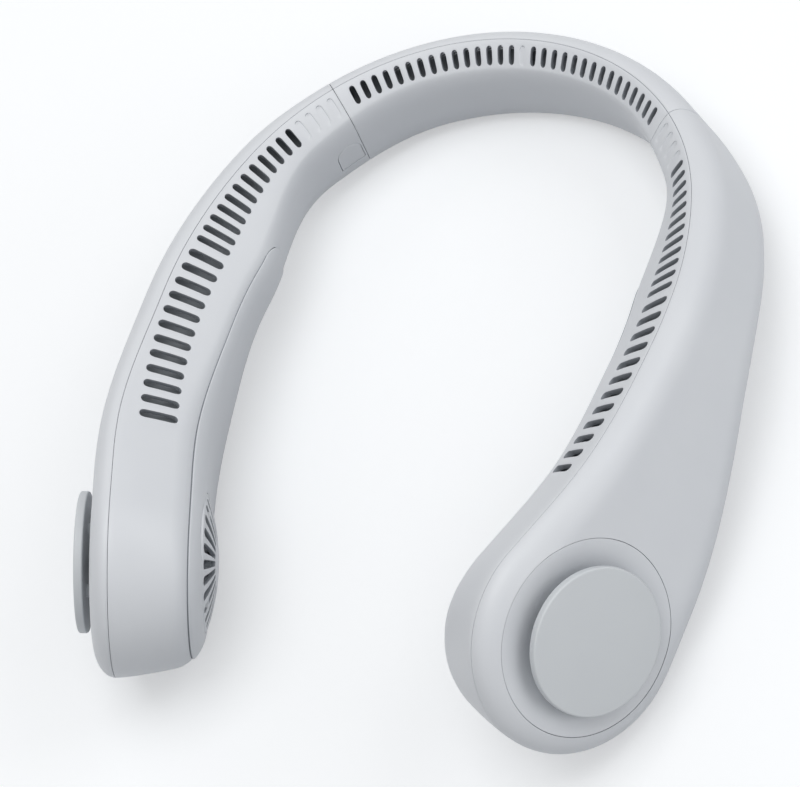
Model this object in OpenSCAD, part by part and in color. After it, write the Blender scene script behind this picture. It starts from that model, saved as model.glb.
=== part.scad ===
// Wearable neck fan: a horseshoe neckband with a centrifugal fan in each front end.
// It lies on its two fan heads and on the back of the band, slots up.
// X runs to the wearer's left, Y to the back of the neck, Z up.

/* [Neckband path] */
// Radius of the back bend, at the outer face
back_r = 80.5; // [70:0.5:95]
// Angle that the back bend turns on each side
back_turn = 71; // [60:1:78]
// Radius of the shoulder bend
shoulder_r = 126.5; // [110:0.5:150]
// Angle that the shoulder bend turns
shoulder_turn = 19; // [12:1:26]
// Radius of the arm bend
arm_r = 152.5; // [130:0.5:200]
// Angle that the arm bend turns
arm_turn = 22; // [14:1:28]
// Straight run from the arm bend to the fan axis
fan_run = 24.6; // [22:0.1:34]
// Lean of the band at the back
back_lean = 10; // [4:0.5:16]
// Lean of the band along the arms
arm_lean = 19.3; // [12:0.1:24]

/* [Band section] */
// Height of the band
band_h = 32; // [29:0.5:36]
// Wall of every shell
wall = 1.7; // [1.2:0.1:2.2]
// Set-in of the outer face at the back
outer_set = 0.9; // [0:0.1:2]
// Depth from the path to the inner face at the back
back_in = 15.3; // [14:0.1:17]
// Depth to the inner face at the joints
joint_in = 17.7; // [16.5:0.1:19.5]
// Depth to the inner face along the arms
arm_in = 28.8; // [26:0.1:31]
// Depth to the inner face at the fan heads
fan_in = 26.5; // [25:0.1:29]
// Swell of the outer face at the fan heads
fan_out = 3.7; // [3:0.1:5]
// Depth of the top seam from the path
seam_in = 6.5; // [6:0.1:7.5]
// Depth of that seam at the fan heads
fan_seam_in = 2.1; // [1.5:0.1:3]
// Height of the outer roll
outer_roll = 8.8; // [7:0.1:9.5]
// Height of the inner roll
inner_roll = 7.4; // [6:0.1:8.5]
// Height of the inner roll at the fan heads
fan_roll = 10.5; // [9:0.1:11]
// Width of the inner roll at the back
back_edge = 1.6; // [1.3:0.1:2.2]
// Width of the inner roll along the arms
arm_edge = 4.2; // [3:0.1:5]
// Width of the inner roll at the fan heads
fan_edge = 7.5; // [6.5:0.1:7.8]
// Fall of the slotted strip at the back
back_drop = 4.3; // [3:0.1:5]
// Fall of the slotted strip along the arms
arm_drop = 5.1; // [4:0.1:6]
// Fall of the strip round the fan heads and underneath
under_drop = 2.8; // [2:0.1:4]

/* [Fan heads] */
// Radius of a fan head
head_r = 32.2; // [31:0.1:35]
// Depth of the fan axis below the top of the band
head_b = 34.6; // [33:0.1:38]
// Run from the end of the plain band to the fan axis
taper_run = 85.5; // [80:0.5:92]
// Radius of the intake dish, as a share of the fan head's
dish_share = 0.823; // [0.79:0.001:0.845]
// Height of the dish's outer lip above the path
dish_lip = 3.3; // [3:0.1:3.6]
// Fall of the dish from its lip to its throat
dish_fall = 2.6; // [2:0.1:3]
// Radius of the dish's throat, as a share of the fan head's
throat_share = 0.503; // [0.46:0.001:0.56]
// Radius of the disc cap, as a share of the fan head's
cap_share = 0.612; // [0.58:0.001:0.66]
// Thickness of the disc cap
cap_t = 2.4; // [2:0.1:3]
// Height of the cap's face above the path
cap_top = 8.4; // [7.5:0.1:9.5]
// Radius of the inner grille, as a share of the fan head's
grille_share = 0.606; // [0.56:0.001:0.635]
// Crown of the inner grille
grille_crown = 4.2; // [3:0.1:5]
// Thickness of grilles and spiders
grille_t = 1.6; // [1.3:0.1:2]
// Number of grille slots
grille_slots = 24; // [18:1:28]

/* [Air slots] */
// Slots on each half of the middle section
mid_slots = 15; // [11:1:15]
// Pitch of the middle slots
mid_pitch = 4; // [3.6:0.1:4]
// Width of the middle slots
mid_slot_w = 2; // [1.5:0.1:2.3]
// Fine slots on each arm
fine_slots = 12; // [8:1:12]
// Place of the first arm slot along the path
fine_start = 85.3; // [84.5:0.1:86.5]
// Pitch of the fine slots
fine_pitch = 4.24; // [3.9:0.02:4.26]
// Width of the fine slots
fine_slot_w = 2.2; // [1.7:0.1:2.4]
// Coarse slots on each arm
coarse_slots = 12; // [8:1:12]
// Gap in pitch from the fine to the coarse slots
coarse_step = 5.56; // [5.3:0.02:6]
// Pitch of the coarse slots
coarse_pitch = 5.35; // [5:0.05:5.4]
// Width of the coarse slots
coarse_slot_w = 2.7; // [2:0.1:3]
// Blind grooves beside each joint
grooves = 4; // [2:1:4]
// Depth of the blind grooves
groove_d = 0.7; // [0.5:0.1:1]
// Depth from the path to the outer ends of the slots
slot_out = 8.3; // [8:0.1:9]
// Depth to the inner ends of the slots at the back
mid_slot_in = 13.1; // [12.4:0.1:13.3]
// Depth to the inner ends of the slots beside the joints
joint_slot_in = 13.7; // [13:0.1:14]
// Depth to the inner ends of the first arm slots
fine_slot_in = 14.2; // [13:0.1:14.6]
// Depth to the inner ends of the last arm slots
coarse_slot_in = 18.9; // [17:0.1:20]

/* [Joints] */
// Place of the joint seam along the path
joint_s = 65.4; // [65:0.1:66.4]
// Width of the gap at every seam
seam_gap = 0.3; // [0.2:0.05:0.4]
// Length of a joint sleeve
sleeve_l = 9; // [7:0.5:9]
// Wall of a joint sleeve
sleeve_t = 1.4; // [1.1:0.1:1.6]
// Distance from a joint to the middle of its tab
tab_set = 5.6; // [5:0.1:6.5]
// Width of a joint tab
tab_w = 7.4; // [6.4:0.1:8]
// Height of a joint tab
tab_h = 9.6; // [8:0.1:9.8]
// Depth of a joint tab's top below the top of the band
tab_b = 13.9; // [13.4:0.1:14.2]
// Depth of the pocket that a joint tab fills
tab_t = 0.8; // [0.6:0.1:0.9]

/* [Inner covers] */
// Arm slot after which an inner cover starts
cover_slot = 8; // [8:1:10]
// Length of the cover's rounded start
cover_nose = 10; // [8:0.5:12]
// Turn of the inner roll before the cover's edge
cover_turn = 35; // [20:1:45]
// Height that an inner cover stands proud
cover_proud = 0.5; // [0.3:0.1:0.8]

/* [Fan rotor] */
// Radius of the impeller, as a share of the fan head's
imp_share = 0.677; // [0.62:0.001:0.695]
// Inner radius of the impeller's blades, as a share of the fan head's
blade_share = 0.478; // [0.44:0.001:0.51]
// Number of blades
blades = 30; // [24:1:36]
// Thickness of a blade
blade_t = 0.8; // [0.6:0.05:1]
// Height of the impeller
imp_h = 15; // [12:0.5:16]
// Depth of the impeller's outer rim below the path
imp_top = 2.6; // [2.2:0.1:4]
// Radius of the rotor cup
cup_r = 10; // [9:0.1:11]
// Wall of the rotor cup
cup_t = 0.8; // [0.6:0.05:1]
// Height of the rotor cup
cup_h = 8.4; // [7:0.1:9]
// Thickness of the magnet ring
magnet_t = 1.2; // [0.9:0.1:1.5]
// Radius of the shaft
shaft_r = 1; // [0.8:0.05:1.3]
// Play between a shaft and its bush
bush_play = 0.04; // [0.02:0.01:0.08]
// Outer radius of the bush
bush_r = 2.6; // [2.4:0.1:3]
// Air gap between stator and magnets
air_gap = 0.5; // [0.4:0.05:0.7]
// Radius of the motor plate
plate_r = 11; // [10:0.1:12]
// Thickness of the motor plate
plate_t = 1.2; // [0.9:0.1:1.5]
// Radius on which the motor plate's screws lie, as a share of the fan head's
post_share = 0.435; // [0.416:0.001:0.458]
// Radius of a screw post
post_r = 2; // [1.8:0.1:2.3]

/* [Batteries] */
// Radius of a battery
cell_r = 7.5; // [6.5:0.1:8]
// Length of a battery
cell_l = 45; // [38:0.5:48]
// Place of the battery's middle along the path
cell_s = 131; // [128:0.5:134]

/* [Controls] */
// Run from the control board's middle to the fan axis
board_run = 51; // [47:0.5:54]
// Length of the control board
board_l = 30; // [26:0.5:32]
// Width of the control board
board_w = 13; // [11:0.5:14]
// Thickness of the control board
board_t = 1.2; // [1:0.1:1.6]
// Distance from the outside to the control board
board_in = 8; // [7.6:0.1:9]
// Width of the charging socket
port_w = 8.94; // [8.8:0.02:9.1]
// Height of the charging socket
port_h = 3.26; // [3.1:0.02:3.4]
// Radius of the power button
button_r = 4; // [3.5:0.1:4.6]
// Height that the button stands proud
button_proud = 0.9; // [0.7:0.1:1.2]
// Travel of the power button
button_travel = 0.6; // [0.4:0.1:0.8]
// Radius of an indicator lamp
lamp_r = 0.6; // [0.4:0.05:0.8]
// Number of indicator lamps
lamps = 4; // [3:1:4]
// Radius of the wire harness
harness_r = 1.2; // [0.9:0.1:1.3]

/* [Hidden] */

// Colours
shell_c = "#e4e7eb";
cap_c = "#d5d8db";
dark_c = "#3a3d42";
steel_c = "#b9bdc2";
copper_c = "#b87333";
board_c = "#2f6b3f";

// Play between a loose piece and the shell round it
fit = 0.25;
// Play of a piece that is seated in another
seat = 0.1;
// Overrun of every cut
over = 1;

// Radii of the pieces of a fan head, which grow with it
dish_r = head_r * dish_share;
throat_r = head_r * throat_share;
cap_r = head_r * cap_share;
grille_r = head_r * grille_share;
imp_r = head_r * imp_share;
blade_in = head_r * blade_share;
post_pitch_r = head_r * post_share;

// Path: lengths of the three bends, and where they end
function bend_l(r, turn) = r * turn * PI / 180;
s_back = bend_l(back_r, back_turn);
s_shoulder = s_back + bend_l(shoulder_r, shoulder_turn);
s_arm = s_shoulder + bend_l(arm_r, arm_turn);
s_fan = s_arm + fan_run;
s_taper = s_fan - taper_run;
turn_2 = back_turn + shoulder_turn;
turn_3 = turn_2 + arm_turn;
function spoke(r, turn) = r * [sin(turn), cos(turn)];
back_c = [0, -back_r];
shoulder_c = back_c + spoke(back_r - shoulder_r, back_turn);
arm_c = shoulder_c + spoke(shoulder_r - arm_r, turn_2);

// Heading, place and lean of the path at the length s
function heading(s) =
  s < s_back ? back_turn * s / s_back
  : s < s_shoulder ? back_turn + shoulder_turn * (s - s_back) / (s_shoulder - s_back)
  : s < s_arm ? turn_2 + arm_turn * (s - s_shoulder) / (s_arm - s_shoulder)
  : turn_3;
function path(s) =
  let (t = heading(s))
  s < s_back ? back_c + spoke(back_r, t)
  : s < s_shoulder ? shoulder_c + spoke(shoulder_r, t)
  : s < s_arm ? arm_c + spoke(arm_r, t)
  : arm_c + spoke(arm_r, turn_3) + (s - s_arm) * [cos(turn_3), -sin(turn_3)];
function ease(x, from, to) =
  let (u = min(1, max(0, (x - from) / (to - from))))
  u * u * (3 - 2 * u);
function mix(p, q, u) = p + (q - p) * u;
function lean(s) = mix(back_lean, arm_lean, ease(abs(s), 0, s_shoulder));

// A point of the band: s along it, b down it, a outwards from the path, before it is laid down
function raw(v) =
  let (s = v[0], p = path(abs(s)), t = heading(abs(s)), n = lean(s),
    h = v[2] * cos(n) + v[1] * sin(n), x = p[0] + h * sin(t))
  [s < 0 ? -x : x, p[1] + h * cos(t), v[2] * sin(n) - v[1] * cos(n)];
function laid(p) =
  [p[0], p[1] * cos(rest_tilt) + p[2] * sin(rest_tilt), -p[1] * sin(rest_tilt) + p[2] * cos(rest_tilt)];
function put(v) = laid(raw(v)) + [0, slide_y, lift];
function spot(s, b, a) = put([s, b, a]);

// A frame on the left arm: X forwards, Y down the band, Z outwards
module at(s, b, a) {
  translate(spot(s, b, a))
    rotate([-rest_tilt, 0, 0])
      rotate([0, 0, -heading(s)])
        rotate([lean(s) - 90, 0, 0])
          children();
}
module at_head() {
  at(s_fan, head_b, 0) children();
}
module right() {
  mirror([1, 0, 0]) children();
}

// Section sizes along the band
flare_from_share = 0.67;
flare_to_share = 0.95;
pad_from_share = 0.81;
pad_to_share = 1.3;
swell_run = 70;
swell_end = 14;
joint_from_share = 0.37;
joint_to_share = 0.84;
function arm_u(s) = ease(abs(s), s_back * flare_from_share, s_back * flare_to_share);
function pad_u(s) = ease(abs(s), s_back * pad_from_share, s_back * pad_to_share);
function fan_u(s) = ease(abs(s), s_fan - swell_run, s_fan - swell_end);
function joint_u(s) = ease(abs(s), s_back * joint_from_share, s_back * joint_to_share);
function outer_a(s) = -outer_set * (1 - arm_u(s)) + fan_out * fan_u(s);
function inner_a(s) =
  -mix(mix(mix(back_in, joint_in, joint_u(s)), arm_in, pad_u(s)), fan_in, fan_u(s));
function seam_a(s) = -mix(seam_in, fan_seam_in, fan_u(s));
function edge_a(s) = inner_a(s) + mix(mix(back_edge, arm_edge, pad_u(s)), fan_edge, fan_u(s));
function roll_h(s) = mix(inner_roll, fan_roll, fan_u(s));
function drop_d(s, front) = mix(mix(back_drop, arm_drop, arm_u(s)), under_drop, front);
// Fall of the strip at depth a
strip_bow = 1.35;
function strip_d(s, a, front) =
  drop_d(s, front) * pow(max(0, (a - seam_a(s)) / (edge_a(s) - seam_a(s))), strip_bow);

// Outline of a fan head and its taper, in the plane of s and b
small_r = band_h / 2;
taper_dir = atan2(head_b - small_r, taper_run);
taper_open = asin((head_r - small_r) / norm([head_b - small_r, taper_run]));
top_dir = taper_dir - taper_open;
low_dir = taper_dir + taper_open;
function head_pt(angle, r) = [s_fan + r * cos(angle), head_b + r * sin(angle)];
top_end = head_pt(top_dir - 90, head_r);
low_end = head_pt(low_dir + 90, head_r);
// Sweep that joins the plain underside to the taper
low_sweep_r = 84;
low_corner = low_end[0] - (low_end[1] - band_h) / tan(low_dir);
low_start = low_corner - low_sweep_r * tan(low_dir / 2);
low_join = [low_start + low_sweep_r * sin(low_dir), band_h + low_sweep_r * (1 - cos(low_dir))];
sweep_share = 0.3;

// An outline station: place s and b, then the direction into the body
function top_at(s) =
  s < s_taper ? [s, 0, 0, 1]
  : [s, top_end[1] * (s - s_taper) / (top_end[0] - s_taper), -sin(top_dir), cos(top_dir)];
function low_at(u) =
  u <= 0 ? [mix(joint_s, low_start, 1 + u), band_h, 0, -1]
  : u < sweep_share ? let (t = low_dir * u / sweep_share)
    [low_start + low_sweep_r * sin(t), band_h + low_sweep_r * (1 - cos(t)), sin(t), -cos(t)]
  : let (p = mix(low_join, low_end, (u - sweep_share) / (1 - sweep_share)))
    [p[0], p[1], sin(low_dir), -cos(low_dir)];
function low_of(s) = low_at((s - low_start) / (low_start - joint_s));
function rim_at(angle) = [each head_pt(angle, head_r), -cos(angle), -sin(angle)];
// How far a station has turned from the top to the front
function front_u(st) = st[3] > 0 ? 1 - pow(st[3], 4) : 1;

// Points of the skin at a station, d in from the outline, w below the skin
function in_s(st, d) = st[0] + d * st[2];
function skin(st, d, a) = spot(in_s(st, d), st[1] + d * st[3], a);
roll_rows = 4;
function outer_roll_at(st, k, w) =
  let (t = 90 * k / roll_rows, d = outer_roll - (outer_roll - w) * sin(t), s = in_s(st, d),
    low = seam_a(st[0]))
  [s, st[1] + d * st[3], low + (outer_a(s) - low - w) * cos(t)];
function outer_roll_pt(st, k, w) = put(outer_roll_at(st, k, w));
function outer_flat_pt(q, w) = spot(q[0], q[1], outer_a(q[0]) - w);
function strip_pt(st, a, w) = skin(st, strip_d(st[0], a, front_u(st)) + w, a);
function inner_roll_at(st, t, w) =
  let (s = st[0], e = edge_a(s), d = drop_d(s, front_u(st)) + roll_h(s) * (1 - cos(t)) + w * cos(t))
  [in_s(st, d), st[1] + d * st[3], e - (e - inner_a(s) - w) * sin(t)];
function inner_roll_pt(st, t, w) = put(inner_roll_at(st, t, w));
function inner_flat_pt(q, w) = spot(q[0], q[1], inner_a(q[0]) + w);

// Tilt and lift that set the fan heads and the back of the band on the table
front_step = 3;
head_lows = [for (t = [60:front_step:120]) for (k = [0:front_step:60])
  raw(inner_roll_at(rim_at(t), k, -cover_proud))];
back_lows = [for (k = [0:roll_rows]) raw(outer_roll_at(low_of(0), k, 0))];
rest_tilt =
  max([for (p = head_lows) min([for (q = back_lows) atan2(q[2] - p[2], q[1] - p[1])])]);
lift = -min([for (p = head_lows) laid(p)[2]]);
// Shift that centres the fan from front to back
front_ys = [for (t = [-90:front_step:90]) for (k = [0:roll_rows])
  laid(raw(outer_roll_at(rim_at(t), k, 0)))[1]];
back_ys = [for (st = [top_at(0), low_of(0)]) for (k = [0:roll_rows]) laid(raw(outer_roll_at(st, k, 0)))[1]];
slide_y = -(min(front_ys) + max(back_ys)) / 2;

// A closed sheet between two grids of points, front and back. holes(i, j) cells stay open.
// Where joined, the last row of a station is that of the station across the band.
function flat(rows) = [for (r = rows) each r];
function wall_faces(p, q, r, s) = [[p, r, q], [p, s, r]];
module sheet(front, back, hole, joined) {
  n = len(front);
  m = len(front[0]);
  function shut(i, j) = i >= 0 && j >= 0 && i < n - 1 && j < m - 1 && !hole[i][j];
  function seamless(i, j) = j == m - 2 && joined[i] && joined[i + 1];
  function id(i, j, side) =
    let (k = j == m - 1 && joined[i] && i > n / 2 ? n - 1 - i : i)
    side * n * m + k * m + j;
  cells = [for (i = [0:n - 2]) for (j = [0:m - 2]) if (shut(i, j)) [i, j]];
  faces = [
    for (c = cells) let (i = c[0], j = c[1]) each [
      each wall_faces(id(i, j, 0), id(i, j + 1, 0), id(i + 1, j + 1, 0), id(i + 1, j, 0)),
      each wall_faces(id(i, j, 1), id(i + 1, j, 1), id(i + 1, j + 1, 1), id(i, j + 1, 1)),
      if (!shut(i, j - 1))
        each wall_faces(id(i + 1, j, 0), id(i + 1, j, 1), id(i, j, 1), id(i, j, 0)),
      if (!shut(i, j + 1) && !seamless(i, j))
        each wall_faces(id(i, j + 1, 0), id(i, j + 1, 1), id(i + 1, j + 1, 1), id(i + 1, j + 1, 0)),
      if (!shut(i - 1, j)) each wall_faces(id(i, j, 0), id(i, j, 1), id(i, j + 1, 1), id(i, j + 1, 0)),
      if (!shut(i + 1, j))
        each wall_faces(id(i + 1, j + 1, 0), id(i + 1, j + 1, 1), id(i + 1, j, 1), id(i + 1, j, 0)),
    ],
  ];
  polyhedron([each flat(front), each flat(back)], faces);
}

// Stations by the share u of the taper: below 0 on the plain band, 1 at the fan head
function u_of(s) =
  s < low_start ? (s - low_start) / (low_start - joint_s) : (s - low_start) / (top_end[0] - low_start);
function top_u(u) = top_at(u < 0 ? mix(joint_s, low_start, 1 + u) : mix(low_start, top_end[0], u));
// Line on which the top and bottom stations meet: along the band, then round a hole of radius r
hole_from_share = 0.8;
rear_dir = atan2(small_r - head_b, -taper_run);
function meet(u, r, from, to) =
  u <= 0 ? [mix(joint_s, low_start, 1 + u), small_r]
  : u <= hole_from_share ? mix([low_start, small_r], head_pt(rear_dir, r), u / hole_from_share)
  : head_pt(mix(from, to, (u - hole_from_share) / (1 - hole_from_share)), r);
function meet_top(u, r) = meet(u, r, rear_dir, top_dir - 90);
function meet_low(u, r) = meet(u, r, rear_dir + 360, low_dir + 90);

// A shell's rounds: [station, meeting point, joined], top stations, head, then the same back
rim_count = 18;
function rim_dir(k) = mix(top_dir - 90, low_dir + 90, k / (rim_count + 1));
function ring_of(us, r) = [
  for (u = us) [top_u(u), meet_top(u, r), u <= hole_from_share, u],
  for (k = [1:rim_count])
    [rim_at(rim_dir(k)), head_pt(rim_dir(k), r), false, 2],
  for (k = [len(us) - 1:-1:0]) let (u = us[k]) [low_at(u), meet_low(u, r), u <= hole_from_share, u],
];
arm_start = joint_s + seam_gap / 2;
taper_steps = 10;
skin_hole_share = 0.9;
taper_us = [for (k = [1:taper_steps]) k / taper_steps];

// Rounds of a loft: closed loops of points, the last joined to the first or both ends capped
module loft(loops, ring) {
  n = len(loops);
  m = len(loops[0]);
  function id(i, j) = (i % n) * m + j % m;
  faces = [
    for (i = [0:ring ? n - 1 : n - 2]) for (j = [0:m - 1])
      each wall_faces(id(i, j), id(i + 1, j), id(i + 1, j + 1), id(i, j + 1)),
    if (!ring) each [
      for (j = [1:m - 2]) each [[0, j + 1, j], [id(n - 1, 0), id(n - 1, j), id(n - 1, j + 1)]],
    ],
  ];
  polyhedron(flat(loops), faces);
}

// Outer shell of an arm, with the true bore of its intake dish
band_steps = 8;
round_fn = 96;
module arm_outer_shell() {
  us = [for (k = [0:band_steps]) u_of(mix(arm_start, low_start, k / band_steps)), each taper_us];
  ring = ring_of(us, (head_r - outer_roll) * skin_hole_share);
  grid = [
    for (w = [wall, 0]) [for (q = ring) [
      for (k = [roll_rows:-1:0]) outer_roll_pt(q[0], k, w),
      outer_flat_pt(q[1], w),
    ]],
  ];
  color(shell_c) difference() {
    sheet(grid[0], grid[1], [for (q = ring) [for (k = [0:roll_rows + 1]) false]], [for (q = ring) q[2]]);
    at_head() cylinder(h = fan_out + over, r = dish_r, $fn = round_fn);
  }
}

// Places of the slots and of the blind grooves along an arm
coarse_start = fine_start + (fine_slots - 1) * fine_pitch + coarse_step;
fine_at = [for (k = [0:fine_slots - 1]) fine_start + k * fine_pitch];
coarse_at = [for (k = [0:coarse_slots - 1]) coarse_start + k * coarse_pitch];
groove_at = [for (k = [grooves:-1:1]) fine_start - k * fine_pitch];
cover_s = fine_start + (cover_slot - 0.5) * fine_pitch;
function slot_in_a(s) =
  -(abs(s) < joint_s ? mix(mid_slot_in, joint_slot_in, joint_u(s))
    : mix(fine_slot_in, coarse_slot_in, ease(abs(s), fine_start, coarse_start)));
// Station marks: place, dip of a groove, and whether a slot begins there
function slot_marks(s, w) = [[s - w / 2, 0, true], [s + w / 2, 0, false]];
function groove_marks(s, w) =
  [for (k = [-2:2]) if (k != 0) [s + k * w / 4, abs(k) < 2 ? groove_d : 0, false]];
arm_marks = [
  [arm_start, 0, false],
  for (s = groove_at) each groove_marks(s, fine_slot_w),
  for (s = fine_at) if (s < cover_s) each slot_marks(s, fine_slot_w),
  [cover_s, 0, false],
  for (s = fine_at) if (s > cover_s) each slot_marks(s, fine_slot_w),
  for (s = coarse_at) each slot_marks(s, coarse_slot_w),
  [top_end[0], 0, false],
];

// How much of the inner face a slotted shell still covers beside the cover's rounded start
nose_u = cover_nose / (top_end[0] - low_start);
cover_u = u_of(cover_s);
nose_us = [for (m = arm_marks) let (u = u_of(m[0])) if (u > cover_u && u < cover_u + nose_u) u];
wide_us = [for (u = taper_us) if (u > cover_u + nose_u) u];
function bare(u) =
  let (x = min(1, max(0, (u - cover_u) / nose_u)))
  1 - sqrt(1 - (1 - x) * (1 - x));
bare_end_share = 0.02;
cover_hole_share = 0.72;
cover_hole_r = grille_r * cover_hole_share;

// Inner face from the cover's edge, e = 0, to the meeting point q, e = 1
roll_share = 0.55;
inner_shares = [0, roll_share / 2, roll_share, 1];
function inner_pt(st, e, q, w) =
  e <= roll_share ? inner_roll_pt(st, mix(cover_turn, 90, e / roll_share), w)
  : let (d = drop_d(st[0], front_u(st)) + roll_h(st[0]),
      r = mix([st[0] + d * st[2], st[1] + d * st[3]], q, (e - roll_share) / (1 - roll_share)))
    inner_flat_pt(r, w);
function strip_rows(st, w, dip) = [
  skin(st, w, seam_a(st[0]) - seam_gap),
  strip_pt(st, -slot_out, w + (w > 0 ? 0 : dip)),
  strip_pt(st, slot_in_a(st[0]), w + (w > 0 ? 0 : dip)),
  strip_pt(st, edge_a(st[0]), w),
];

// Slotted shell of an arm: strip, slots, and the inner face as far as the cover
module arm_slotted_shell() {
  near = [for (m = arm_marks) if (m[0] <= cover_s) u_of(m[0])];
  low_us = [
    for (k = [len(wide_us) - 1:-1:0]) wide_us[k],
    for (k = [len(nose_us) - 1:-1:0]) nose_us[k],
    for (k = [len(near) - 1:-1:0]) near[k],
  ];
  // Each round: station, meeting point, bare share, dip, slot
  rounds = [
    for (m = arm_marks) let (u = u_of(m[0])) [top_u(u), meet_top(u, cover_hole_r), bare(u), m[1], m[2]],
    for (k = [1:rim_count]) [rim_at(rim_dir(k)), [0, 0], 0, 0, false],
    for (u = low_us) [low_at(u), meet_low(u, cover_hole_r), bare(u), 0, false],
  ];
  grid = [for (w = [0, wall]) [for (q = rounds) [
    each strip_rows(q[0], w, q[3]),
    for (e = inner_shares) inner_pt(q[0], e * max(q[2], bare_end_share), q[1], w),
  ]]];
  gone = [for (i = [0:len(rounds) - 2]) [for (j = [0:len(grid[0][0]) - 2])
    (j == 1 && rounds[i][4])
    || (j > 3 && min(rounds[i][2], rounds[i + 1][2]) < bare_end_share)]];
  color(shell_c) difference() {
    sheet(grid[0], grid[1], gone, [for (q = rounds) q[2] == 1]);
    at_tab() translate([0, 0, -over]) tab_shape(tab_t + seat + over, seat);
  }
}

// Inner cover of an arm, with the true bore of its grille
edge_gap_share = 0.02;
tip_share = 0.45;
module arm_inner_cover() {
  tip_u = mix(cover_u, nose_us[0], tip_share);
  us = [tip_u, each nose_us, each wide_us];
  function from(u) = edge_gap_share + (u == tip_u ? mix(1, bare(nose_us[0]), tip_share) : bare(u));
  function rows(q, w) = let (f = q[3] > 1 ? edge_gap_share : from(q[3])) [
    for (k = [0:3])
      let (e = f > roll_share ? mix(f, 1, k / 3) : [f, mix(f, roll_share, 1 / 2), roll_share, 1][k])
      inner_pt(q[0], e, q[1], w),
  ];
  ring = ring_of(us, cover_hole_r);
  grid = [for (w = [-cover_proud, wall - cover_proud]) [for (q = ring) rows(q, w)]];
  color(shell_c) difference() {
    sheet(grid[0], grid[1], [for (q = ring) [for (k = [0:3]) false]], [for (q = ring) q[2]]);
    at_head() rotate([180, 0, 0])
      cylinder(h = fan_in + cover_proud + over, r = grille_r + seat, $fn = round_fn);
  }
}

// Middle section: the plain outer shell and the slotted one
mid_end = joint_s - seam_gap / 2;
mid_steps = 20;
module middle_outer_shell() {
  grid = [
    for (w = [wall, 0]) [for (i = [-mid_steps / 2:mid_steps / 2])
      let (s = 2 * mid_end * i / mid_steps) [
        for (k = [roll_rows:-1:0]) outer_roll_pt(top_at(s), k, w),
        for (k = [0:roll_rows]) outer_roll_pt(low_of(s), k, w),
      ]],
  ];
  none = [for (r = grid[0]) false];
  color(shell_c) sheet(grid[0], grid[1], [for (r = grid[0]) [for (q = r) false]], none);
}
module middle_slotted_shell() {
  marks = [
    [-mid_end, 0, false],
    for (k = [-mid_slots:mid_slots])
      each k == 0 ? groove_marks(0, mid_slot_w) : slot_marks(k * mid_pitch, mid_slot_w),
    [mid_end, 0, false],
  ];
  turns = [cover_turn, 90];
  grid = [for (w = [0, wall]) [for (m = marks) let (top = top_at(m[0]), low = low_of(m[0])) [
    each strip_rows(top, w, m[1]),
    for (t = turns) inner_roll_pt(top, t, w),
    for (k = [len(turns) - 1:-1:0]) inner_roll_pt(low, turns[k], w),
    for (k = [3:-1:0]) strip_rows(low, w, 0)[k],
  ]]];
  gone = [for (m = marks) [for (j = [0:len(grid[0][0]) - 2]) j == 1 && m[2]]];
  color(shell_c) sheet(grid[0], grid[1], gone, [for (m = marks) false]);
}

// Joint sleeve: a ring of the band's section inside the two shells that meet
function section(s, w) = let (top = top_at(s), low = low_of(s)) [
  for (k = [0:roll_rows]) outer_roll_pt(top, k, w),
  for (k = [1:3]) strip_rows(top, w, 0)[k],
  for (t = [cover_turn, 90]) inner_roll_pt(top, t, w),
  for (t = [90, cover_turn]) inner_roll_pt(low, t, w),
  for (k = [3:-1:1]) strip_rows(low, w, 0)[k],
  for (k = [roll_rows:-1:0]) outer_roll_pt(low, k, w),
];
sleeve_fit = 0.55;
module joint_sleeve() {
  ends = [joint_s - sleeve_l / 2, joint_s + sleeve_l / 2];
  ws = [wall + sleeve_fit, wall + sleeve_fit + sleeve_t];
  color(dark_c)
    loft([section(ends[1], ws[0]), section(ends[0], ws[0]), section(ends[0], ws[1]),
      section(ends[1], ws[1])], true);
}

// Air divider: the floor of the channel below the slots
divider_b = 9.3;
divider_t = 1.2;
divider_fit = 0.9;
divider_fan_fit = 4.2;
divider_end = 190;
divider_step = 7;
module divider(from, to) {
  count = ceil((to - from) / divider_step);
  ts = [for (k = [0:count]) mix(from, to, k / count)];
  color(shell_c) loft([for (s = ts)
    let (out = outer_a(s) - wall - fit,
      into = inner_a(s) + wall + mix(divider_fit, divider_fan_fit, fan_u(s))) [
      spot(s, divider_b, out), spot(s, divider_b + divider_t, out),
      spot(s, divider_b + divider_t, into), spot(s, divider_b, into),
    ]], false);
}
module middle_air_divider() {
  end = joint_s - sleeve_l / 2 - fit;
  divider(-end, end);
}
module arm_air_divider() {
  divider(joint_s + sleeve_l / 2 + fit, divider_end);
}

// Wire harness along the bottom of the band, from battery to battery
harness_set = 5.4;
harness_b = band_h - harness_set;
harness_a = 8;
harness_end = 105;
harness_sides = 8;
harness_step = 7;
module wire_harness() {
  count = 2 * ceil(harness_end / harness_step);
  color(dark_c) loft([for (k = [0:count]) let (s = mix(-harness_end, harness_end, k / count))
    [for (j = [0:harness_sides - 1]) let (t = 360 * j / harness_sides)
      spot(s, harness_b + harness_r * cos(t), -harness_r * sin(t) - harness_a)]], false);
}

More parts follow.
